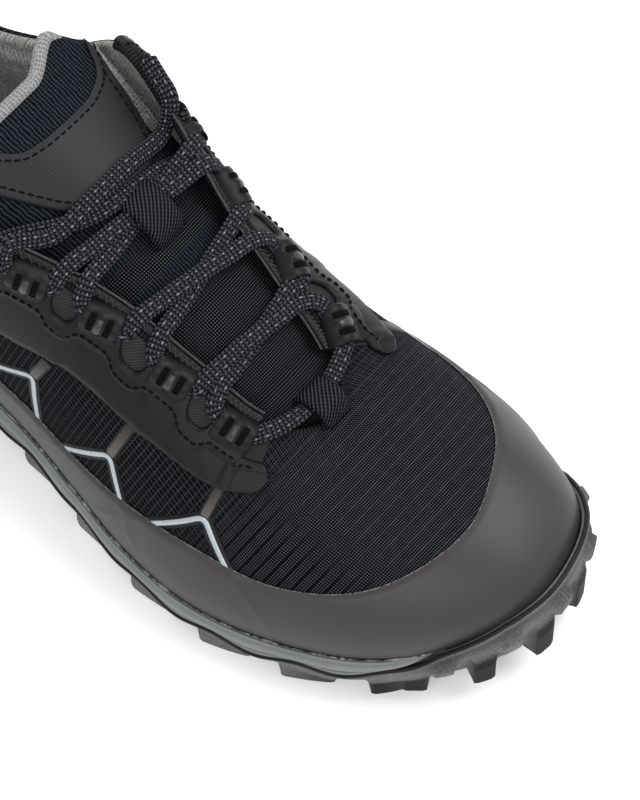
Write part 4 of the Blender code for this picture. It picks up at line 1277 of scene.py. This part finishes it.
def half_lace(first_side, over_first):
    """One end of the lace, from the vamp's webbing up to its top loop."""
    points = []
    sides = ("lateral", "medial") if first_side == "lateral" else ("medial", "lateral")
    last = len(LOOP_PLACES)
    for number in range(1, last + 1):
        side = sides[(number - 1) % 2]
        from_side = sides[number % 2]
        if number == last:
            over = LACE_THICK if side == "medial" else 0.0
            short = (from_side, number - 1) == SHORT_LOOP
            points.append(lace_point(from_side, number - 1, *(SHORT_LEAVE if short else LEAVE)))
            points += [on_tongue(s, c, over) for s, c in TOP_CROSSINGS[side]]
            if side == "medial":
                lying = unit(np.array((0.25, -0.5, 0.85)))
                points += [(lace_point(side, number - 1, *place)[0], lying) for place in FAR_EDGE]
        elif number > 1:
            short = (side, number) == SHORT_LOOP
            leave = lace_point(from_side, number - 1, *LEAVE)
            reach = lace_point(side, number, *(SHORT_REACH if short else REACH))
            over = LACE_THICK * 0.98 if (number % 2 == 0) == over_first else 0.0
            points.append(leave)
            for share, lift in ((0.25, 0.75), (0.5, 1.0), (0.75, 0.75)):
                points.append(over_tongue(leave[0], reach[0], share, over * lift))
            points.append(reach)
        steps = IN_TOP_LOOP if number == last else IN_LOOP
        if (side, number) == SHORT_LOOP:
            steps = IN_SHORT_LOOP
        points += [lace_point(side, number, *step) for step in steps]
    return points


def make_lace():
    """Both ends of the lace and the bar between them, as one cord."""
    a, b = half_lace("lateral", False), half_lace("medial", True)
    route = b[::-1] + [LACE_BAR] + a
    keys = np.array([np.concatenate([point, way]) for point, way in route])
    run = running_length(keys[:, :3])
    even = np.linspace(0, run[-1], int(run[-1] / 0.7))
    path = np.stack([hermite(run, keys[:, k], even) for k in range(3)], 1)
    ups = unit(along_path(even, run, keys[:, 3:]))
    sides = 14
    turn = np.arange(sides) * 2 * np.pi / sides
    shape = np.stack([
        np.sign(np.cos(turn)) * np.abs(np.cos(turn)) ** 0.8 * LACE_WIDTH / 2,
        np.sign(np.sin(turn)) * np.abs(np.sin(turn)) ** 0.9 * LACE_THICK / 2,
    ], -1)
    points, faces = sweep(path, ups, shape)
    cloth = laid_out(running_length(path), shape[:, 0])
    lace = piece("lace", points, faces, [lace_weave], cloth=cloth)
    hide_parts("lace_bar", *[f"lace_cross_{number}" for number in range(1, 5)])


# Woven polyester lace: a herringbone of black yarn with single white yarns that show as flecks in
# two rows along it.
PICK = 1.4
FLECK_PITCH = 3.2
FLECK_ROW = 1.15         # of a row from the lace's middle
UNEVEN = 2.222           # length over which flecks come and go
lace_weave, add, shader = new_material(
    "black_woven_polyester_lace", "#16171a", 0.75, Specular_IOR_Level=0.06
)
places = add("Attribute", attribute_name="cloth").outputs["Vector"]
split = add("SeparateXYZ", {0: places})
strand = add("Math", {0: split.outputs["Y"], 1: FLECK_ROW / 2}, operation="PINGPONG")
slant = add("Math", {0: split.outputs["X"], 1: strand}, operation="ADD")
slant = add("Math", {0: slant, 1: 2 * np.pi / PICK}, operation="MULTIPLY")
slant = add("Math", {0: slant}, operation="SINE")
herring = add("MapRange", {0: slant, 1: -1.0, 2: 1.0})
hollow = add("MapRange", {0: strand, 1: 0.0, 2: FLECK_ROW / 2, 3: 1.0, 4: 0.15})
braid = add("Math", {0: herring, 1: hollow}, operation="MULTIPLY")
from_middle = add("Math", {0: split.outputs["Y"]}, operation="ABSOLUTE")
across = add("Math", {0: from_middle, 1: FLECK_ROW}, operation="SUBTRACT")
across = add("Math", {0: across}, operation="ABSOLUTE")
step = add("Math", {0: split.outputs["Y"]}, operation="SIGN")
step = add("Math", {0: step, 1: FLECK_PITCH / 4}, operation="MULTIPLY")
along = add("Math", {0: split.outputs["X"], 1: step}, operation="ADD")
along = add("Math", {0: along, 1: FLECK_PITCH / 2}, operation="PINGPONG")
dot_along = add("MapRange", {0: along, 1: 0.2, 2: 0.5, 3: 1.0, 4: 0.0})
dot_across = add("MapRange", {0: across, 1: 0.1, 2: 0.3, 3: 1.0, 4: 0.0})
fleck = add("Math", {0: dot_along, 1: dot_across}, operation="MULTIPLY")
uneven = add("TexNoise", {"Vector": places, "Scale": 1 / UNEVEN, "Detail": 1.0})
uneven = add("MapRange", {0: uneven, 1: 0.4, 2: 0.58, 3: 0.5, 4: 1.0})
fleck = add("Math", {0: fleck, 1: uneven}, operation="MULTIPLY")
tone = add("Mix", {0: braid, 6: "#020203", 7: "#4a4b51"}, data_type="RGBA")
tone = add("Mix", {0: fleck, 6: tone, 7: "#828288"}, data_type="RGBA")
bump = add("Bump", {"Height": braid, "Strength": 0.9, "Distance": 0.35 * MM})
plug(shader, {"Base Color": tone, "Normal": bump})

make_lace()


# Insole: a loose foam bed under grey fabric, cupped a little round its edge. It lies on the midsole
# inside the upper, and the lining's knit covers it.

INSOLE = 3.5


def ladder(start, count):
    """Faces that fill a ring that starts at the heel, from its lateral to its medial side."""
    toe = count // 2
    faces = [[start, start + 1, start + count - 1]]
    for i in range(1, toe - 1):
        faces.append([start + i, start + i + 1, start + count - i - 1, start + count - i])
    faces.append([start + toe - 1, start + toe, start + toe + 1])
    return faces


def stack(rings):
    """Points and faces of a solid from rings of points, filled at both ends."""
    columns, rows = rings.shape[:2]
    by_row = rings.transpose(1, 0, 2).reshape(-1, 3)
    i = np.arange(columns)
    k = (i + 1) % columns
    faces = []
    for j in range(rows - 1):
        low, high = j * columns, (j + 1) * columns
        faces += np.stack([low + i, low + k, high + k, high + i], -1).tolist()
    return by_row, faces + ladder(0, columns) + ladder((rows - 1) * columns, columns)


def sole_ring(t, offset, z=None, rise=0.0):
    """A ring at an offset from the foot outline, at height z or above the foot line."""
    ring = foot(t, np.broadcast_to(offset, t.shape))
    ring[:, 2] = ring[:, 2] + rise if z is None else z(ring[:, 0])
    return ring


t = np.arange(ROUND) / ROUND
inset = -(WALL + 1.2)
rings = [
    sole_ring(t, inset - 14, rise=GAP + INSOLE),
    sole_ring(t, inset - 6, rise=GAP + INSOLE + 0.4),
    sole_ring(t, inset - 2.0, rise=GAP + INSOLE + 1.2),
    sole_ring(t, inset - 0.8, rise=GAP + INSOLE + 1.3),
    sole_ring(t, inset, rise=GAP + INSOLE * 0.8),
    sole_ring(t, inset, rise=GAP),
]
points, faces = stack(np.stack(rings, 1))
insole = piece("insole_bed", points, faces, [lining], cloth=points * (1, 1, 0))
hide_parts("insole")


# Midsole: moulded EVA foam, a thin greenish grey band with a ledge under the rand, a rounded
# edge and a groove. It is glued between the upper and the outsole.

RIM = 3.0
SWELL = 0.9              # of the rounded edge
LIP = 2.4
LUGS = 26
SCALLOPS = (1.6, 2.2)    # how far the outsole's edge waves at each lug, and how far it is lowered
LUG_DEPTH = 4.5
PLATE = 2.5
TREAD = [
    Profile(-8, 5), Profile(10, 1), Profile(26, 0), Profile(86, 0), Profile(104, 3),
    Profile(126, 3), Profile(148, 0), Profile(222, 0), Profile(246, 2), Profile(268, 5),
    Profile(298, 12),
]

# Moulded EVA foam: pebbled and matt, with painted shade in its groove and along its ledge under the rand.
eva, add, shader = new_material("grey_moulded_eva", "#5e6361", 0.62, Specular_IOR_Level=0.4)
where = add("TexCoord").outputs["Object"]
PEBBLE = 0.7
pebble = add("TexVoronoi", {"Vector": where, "Scale": 1 / (PEBBLE * MM)})
FOAM_CLOUD = 25.0
cloud = add("TexNoise", {"Vector": where, "Scale": 1 / (FOAM_CLOUD * MM), "Detail": 4.0})
tone = add("Mix", {0: cloud, 6: "#5c615f", 7: "#7e8381"}, data_type="RGBA")
places = add("Attribute", attribute_name="cloth").outputs["Vector"]
split = add("SeparateXYZ", {0: places})
# painted shade from the cloth attribute, darkest in the groove and along the ledge
tone = add("Mix", {0: split.outputs["X"], 6: tone, 7: "#1b1e1d"}, data_type="RGBA")
bump = add("Bump", {"Height": pebble, "Strength": 0.25, "Distance": 0.15 * MM})
plug(shader, {"Base Color": tone, "Normal": bump})


def tread(x):
    return np.interp(x, *np.transpose(TREAD))


def plate_top(x):
    return tread(x) + LUG_DEPTH + PLATE


def sole_sizes(t):
    """Outsole edge above the foot line with its scallops, and how far it wraps the toe."""
    lip = column("lip", t)
    wrap = np.clip((lip + 5) / 4, 0, 1)
    wave, drop = SCALLOPS
    scallop = (wave * np.cos(2 * np.pi * (LUGS * t - 0.2)) - drop) * (1 - wrap)
    return lip + scallop, wrap * wrap * (3 - 2 * wrap)


def closed_ring(values):
    """A ring of points or values with its first one again at the end."""
    return np.concatenate([values, values[:1]])


lip, wrap = sole_sizes(t)

# Dried glue along the foot of the rand: an uneven bead, dull and gritty with dirt.
BEAD = 1.2
path = foot(t, RAND + GAP + 0.45 - 0.4 * wrap)
path[:, 2] += 0.25
uneven = 0.6 + 0.25 * np.sin(190 * np.pi * t) + 0.2 * np.sin(74 * np.pi * t + 1.0)
ring = closed_ring(path)
width = closed_ring(BEAD * uneven * (1 - 0.7 * wrap))
upright = np.broadcast_to((0.0, 0.0, 1.0), ring.shape)
points, faces = sweep(ring, upright, oval(1, 1, 8) * width[:, None, None])
glue, add, shader = new_material("dried_clear_glue", "#6d6e6d", 0.4)
where = add("TexCoord").outputs["Object"]
GRIT = 1.6
grit = add("TexNoise", {"Vector": where, "Scale": 1 / (GRIT * MM), "Detail": 4.0})
grit = add("MapRange", {0: grit, 1: 0.42, 2: 0.62})
tone = add("Mix", {0: grit, 6: "#1d1e1e", 7: "#8f918f"}, data_type="RGBA")
plug(shader, {"Base Color": tone})
piece("glue_bead", points, faces, [glue])

rim = RIM - 2.3 * wrap
inside = (RIM - LIP - GAP) * (1 - wrap) + 0.5 * wrap
wall = np.minimum(lip + 0.1, -1.0)
swell = SWELL * (1 - wrap)
rings = [
    sole_ring(t, -8.0),
    sole_ring(t, rim - 1.6, rise=0.05),
    sole_ring(t, rim - 1.0, rise=0.5 * (1 - wrap)),
    sole_ring(t, rim - 0.3, rise=0.5 * (1 - wrap)),
    sole_ring(t, rim + 0.2 * swell, rise=0.1 * wall),
    sole_ring(t, rim + swell, rise=0.26 * wall),
    sole_ring(t, rim + swell, rise=0.42 * wall),
    sole_ring(t, rim + 0.3 * swell, rise=0.5 * wall),
    sole_ring(t, rim - 0.6 * swell, rise=0.53 * wall),
    sole_ring(t, rim - 0.6 * swell, rise=0.6 * wall),
    sole_ring(t, rim + 0.1 * swell, rise=0.66 * wall),
    sole_ring(t, rim, rise=np.minimum(wall + 0.9, 0.7 * wall)),
    sole_ring(t, rim - 1.3 * (1 - wrap), rise=wall),
    sole_ring(t, inside, rise=wall),
    sole_ring(t, inside - 0.6, lambda x: plate_top(x) + 2 * GAP),
    sole_ring(t, -8.0, lambda x: plate_top(x) + 2 * GAP),
]
# how much painted shade each ring carries, darkest in the groove
GROOVE_SHADE = (0, 0.8, 0.3, 0.1, 0.35, 0, 0.1, 0.7, 1, 1, 0.5, 0, 0.5, 0.5, 0, 0)
cloth = one_value(np.repeat(GROOVE_SHADE, len(t)))
midsole = piece("midsole_foam", *stack(np.stack(rings, 1)), [eva], cloth=cloth, crease=50)
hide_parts("midsole")


# Outsole: moulded carbon rubber with blocks round its edge and a second row inside them. It turns
# up round the midsole as a lip and over the toe as a bumper, and is glued on.

# Carbon rubber: dull dark grey, pitted and finely knurled from the mould, with painted shade near black on
# the toe's lugs and under its bead.
rubber, add, shader = new_material("dark_carbon_rubber", "#4a4a49", 0.7, Specular_IOR_Level=0.18)
where = add("TexCoord").outputs["Object"]
RUBBER_CLOUD = 18.18
cloud = add("TexNoise", {"Vector": where, "Scale": 1 / (RUBBER_CLOUD * MM), "Detail": 5.0})
tone = add("Mix", {0: cloud, 6: "#51514f", 7: "#838381"}, data_type="RGBA")
MOULD_GRAIN = 0.55       # drawn a little coarse, so that the pits show
grain = add("TexNoise", {"Vector": where, "Scale": 1 / (MOULD_GRAIN * MM), "Detail": 2.0})
pits = add("MapRange", {0: grain, 1: 0.34, 2: 0.62, 3: 0.5, 4: 0.0})
tone = add("Mix", {0: pits, 6: tone, 7: "#1f1f1e"}, data_type="RGBA")
KNURL = 1.2              # drawn coarse, so that the moulded lines show
knurl = add(
    "TexWave",
    {"Vector": where, "Scale": 2 * np.pi / (KNURL * MM) / 10, "Distortion": 0.5},
    bands_direction="DIAGONAL",
)
lines = add("MapRange", {0: knurl.outputs["Fac"], 3: 0.35, 4: 0.0})
tone = add("Mix", {0: lines, 6: tone, 7: "#181818"}, data_type="RGBA")
places = add("Attribute", attribute_name="cloth").outputs["Vector"]
split = add("SeparateXYZ", {0: places})
# painted shade from the cloth attribute: near black on the toe's lugs and under its bead
tone = add("Mix", {0: split.outputs["X"], 6: tone, 7: "#0d0d0d"}, data_type="RGBA")
ridges = add("Math", {0: knurl.outputs["Fac"], 1: 0.4}, operation="MULTIPLY")
rough = add("Math", {0: grain, 1: ridges}, operation="ADD")
bump = add("Bump", {"Height": rough, "Strength": 0.3, "Distance": 0.2 * MM})
plug(shader, {"Base Color": tone, "Normal": bump})

# Black rubber of the bead along the outsole's top edge, smooth from the mould.
edge_rubber, add, shader = new_material("black_moulded_rubber", "#0c0c0c", 0.5, Specular_IOR_Level=0.2)
where = add("TexCoord").outputs["Object"]
BEAD_CLOUD = 5.0
cloud = add("TexNoise", {"Vector": where, "Scale": 1 / (BEAD_CLOUD * MM), "Detail": 2.0})
tone = add("Mix", {0: cloud, 6: "#050505", 7: "#141414"}, data_type="RGBA")
plug(shader, {"Base Color": tone})

LUG_COLUMNS = 24
EDGE_LUG = (0.02, 0.645)     # stretch of each lug's pitch that the edge block fills
TOE_LUG = (0.10, 0.46)       # of the closer pitch round the toe
TOE_PITCH = 1.5              # lugs round the toe for each one along the sides
CLEAT = (0.50, 0.86)         # low blocks on the toe bumper, between the lugs
INNER_LUG = (0.36, 0.975)
# rings down the outsole's wall, and in from its edge to the spine
WALL_RINGS = (0.06, 0.14, 0.2, 0.26, 0.34, 0.42, 0.48, 0.54, 0.6, 0.7, 0.8, 0.88, 0.94, 0.97, 1.0)
RINGS = (
    0.02, 0.10, 0.2, 0.29, 0.305, 0.32, 0.36, 0.40, 0.44, 0.455, 0.47, 0.6, 0.73, 0.79, 0.805, 0.82,
)
SHADED_TOE_LUGS = (228, 262)      # between these the lugs turn from grey to near black, as painted shade
CLEAT_HEIGHT = 2.6
GAP_DEPTH = 1.8              # how far the wall sinks between the lugs
SPINE_ENDS = (36, 248)


def block(phase, limits):
    """1 along a block of the tread and 0 in the gap, with steep drafted ends."""
    draft = 0.035
    begun = smooth(limits[0] - draft, limits[0] + draft, phase)
    return begun * smooth(limits[1] + draft, limits[1] - draft, phase)


def make_outsole():
    """The lip, the wall with its edge blocks and the tread with the second row, ring by ring."""
    t = np.arange(LUGS * LUG_COLUMNS) / (LUGS * LUG_COLUMNS)
    lip, wrap = sole_sizes(t)
    lip = lip + 2.2 * wrap
    phase = np.mod(LUGS * t, 1)
    toe_phase = np.mod(TOE_PITCH * LUGS * t, 1)
    edge_lug = block(phase, EDGE_LUG) * (1 - wrap) + block(toe_phase, TOE_LUG) * wrap
    inner_lug = block(phase, INNER_LUG)
    heelward = np.clip(phase / EDGE_LUG[1], 0, 1)
    heelward = np.where(t < 0.5, 1 - heelward, heelward) * (1 - wrap) + wrap
    inside = (RIM - LIP) * (1 - wrap) + 1.6 * wrap
    flare = column("flare", t)
    v, lengths = wall_lengths(t)
    over_rand = np.array([np.interp(h, run, v) for h, run in zip(np.maximum(lip, 0), lengths)])
    bulge = ((skin(t, over_rand) - foot(t)) * outward(t)).sum(-1)
    mouth = inside + (2 * GAP + RAND + np.maximum(bulge, 0) - inside) * wrap

    base = sole_ring(t, flare, lambda x: tread(x) + LUG_DEPTH)
    top_z = sole_ring(t, mouth, rise=lip)[:, 2]
    foot_z = tread(base[:, 0]) + LUG_DEPTH * (1 - edge_lug)
    rings = [
        sole_ring(t, -8.0, plate_top),
        sole_ring(t, inside - 0.6, plate_top),
        sole_ring(t, mouth, rise=lip - 0.3),
        sole_ring(t, mouth + 0.25 * LIP, rise=lip),
        sole_ring(t, mouth + 0.7 * LIP, rise=lip),
        sole_ring(t, mouth + 0.95 * LIP, rise=lip - 0.35),
    ]
    outer_top = mouth + LIP
    # the lugs round the toe painted near black, as painted shade
    black = edge_lug * smooth(*SHADED_TOE_LUGS, base[:, 0])
    dark = [np.zeros_like(t)] * len(rings)
    for share in WALL_RINGS:
        raised = edge_lug * smooth(0.40, 0.54, share)
        sunk = (1 - edge_lug) * smooth(0.3, 0.9, share) * GAP_DEPTH
        offset = outer_top + (flare - outer_top) * share ** 0.8 - sunk
        cleat = CLEAT_HEIGHT * wrap * block(toe_phase, CLEAT)
        cleat = cleat * smooth(0.16, 0.24, share) * smooth(0.62, 0.54, share)
        slanted = raised * (2.4 * heelward - 1.4 + 0.8 * wrap)
        offset = offset + slanted + cleat - 0.3 * smooth(0.96, 1.0, share)
        ring = sole_ring(t, offset)
        ring[:, 2] = top_z - 0.35 + (foot_z - top_z + 0.35) * share
        rings.append(ring)
        # painted shade on the toe's wall just under the bead
        shade_under_bead = 0.6 * wrap * smooth(0.4, 0.06, share)
        dark.append(np.maximum(black * smooth(0.40, 0.5, share), shade_under_bead))
    edge = rings[-1]
    spine = np.zeros_like(edge)
    spine[:, 0] = np.clip(edge[:, 0], *SPINE_ENDS)
    spine[:, 1] = np.interp(spine[:, 0], SPINE_ENDS, (0, 4))
    for share in RINGS:
        ring = edge + (spine - edge) * share
        high = edge_lug * smooth(0.32, 0.295, share)
        high = np.maximum(high, inner_lug * smooth(0.44, 0.465, share) * smooth(0.82, 0.795, share))
        ring[:, 2] = tread(ring[:, 0]) + LUG_DEPTH * (1 - high)
        rings.append(ring)
        dark.append(black)
    bead = sole_ring(t, mouth + LIP * (0.85 - 0.25 * wrap), rise=lip + 0.1)
    bead = closed_ring(bead)
    width = closed_ring(2.1 - 0.7 * wrap)
    upright = np.broadcast_to((0.0, 0.0, 1.0), bead.shape)
    bead = sweep(bead, upright, oval(1, 0.7, 8) * width[:, None, None])
    line = piece("sole_edge_line", *bead, [edge_rubber])
    cloth = one_value(np.concatenate(dark))
    outsole = piece("outsole_rubber", *stack(np.stack(rings, 1)), [rubber], cloth=cloth, crease=42)
    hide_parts("outsole")


make_outsole()


# Studio: a white floor, soft light from all round and three large lamps, and the camera at the
# angle of the photograph.

floor_mesh = bpy.data.meshes.new("floor")
floor_mesh.from_pydata([(-4, -4, 0), (4, -4, 0), (4, 4, 0), (-4, 4, 0)], [], [(0, 1, 2, 3)])
floor = bpy.data.objects.new("floor", floor_mesh)
bpy.context.scene.collection.objects.link(floor)
white, add, shader = new_material(
    "white_paper_floor", "#fafafa", 0.9, Emission_Color="#ffffff", Emission_Strength=0.1
)
floor_mesh.materials.append(white)

world = bpy.data.worlds.new("soft_studio")
world.use_nodes = True
plug(world.node_tree.nodes["Background"], {"Color": (1, 1, 1, 1), "Strength": 0.8})
bpy.context.scene.world = world
bpy.context.scene.view_settings.view_transform = "Standard"

LIT = (0.05, 0, 0.04)    # point that the lamps face
Lamp = namedtuple("Lamp", "name at size power")
for lamp in (
    Lamp("key_softbox", (0.5, 0.7, 1.3), 0.9, 15),
    Lamp("side_softbox", (0.6, -1.0, 1.1), 1.0, 10),
    Lamp("back_softbox", (-0.9, 0.5, 0.9), 0.9, 6),
):
    data = bpy.data.lights.new(lamp.name, "AREA")
    data.size = lamp.size
    data.energy = lamp.power
    light = bpy.data.objects.new(lamp.name, data)
    light.location = lamp.at
    aim = np.array(LIT) - np.array(lamp.at)
    light.rotation_mode = "QUATERNION"
    light.rotation_quaternion = Vector(aim.tolist()).to_track_quat("-Z", "Y")
    bpy.context.scene.collection.objects.link(light)

EYE = np.array((547.041, -357.783, 998.560))
RIGHT = (0.76043, 0.64904, -0.02204)
UP = (-0.56630, 0.67934, 0.46669)
BACK = (0.31788, -0.34240, 0.88415)
FOCAL_PX = 3793.14       # of an image this many pixels high
IMAGE_HIGH = 800
SENSOR = 36.0
camera_data = bpy.data.cameras.new("camera")
camera_data.sensor_width = SENSOR
camera_data.lens = FOCAL_PX * SENSOR / IMAGE_HIGH
camera_data.clip_start = 0.05
camera_data.clip_end = 20.0
camera = bpy.data.objects.new("camera", camera_data)
at = (EYE - ORIGIN) * MM
camera.matrix_world = Matrix((
    (RIGHT[0], UP[0], BACK[0], at[0]),
    (RIGHT[1], UP[1], BACK[1], at[1]),
    (RIGHT[2], UP[2], BACK[2], at[2]),
    (0, 0, 0, 1),
))
bpy.context.scene.collection.objects.link(camera)
bpy.context.scene.camera = camera
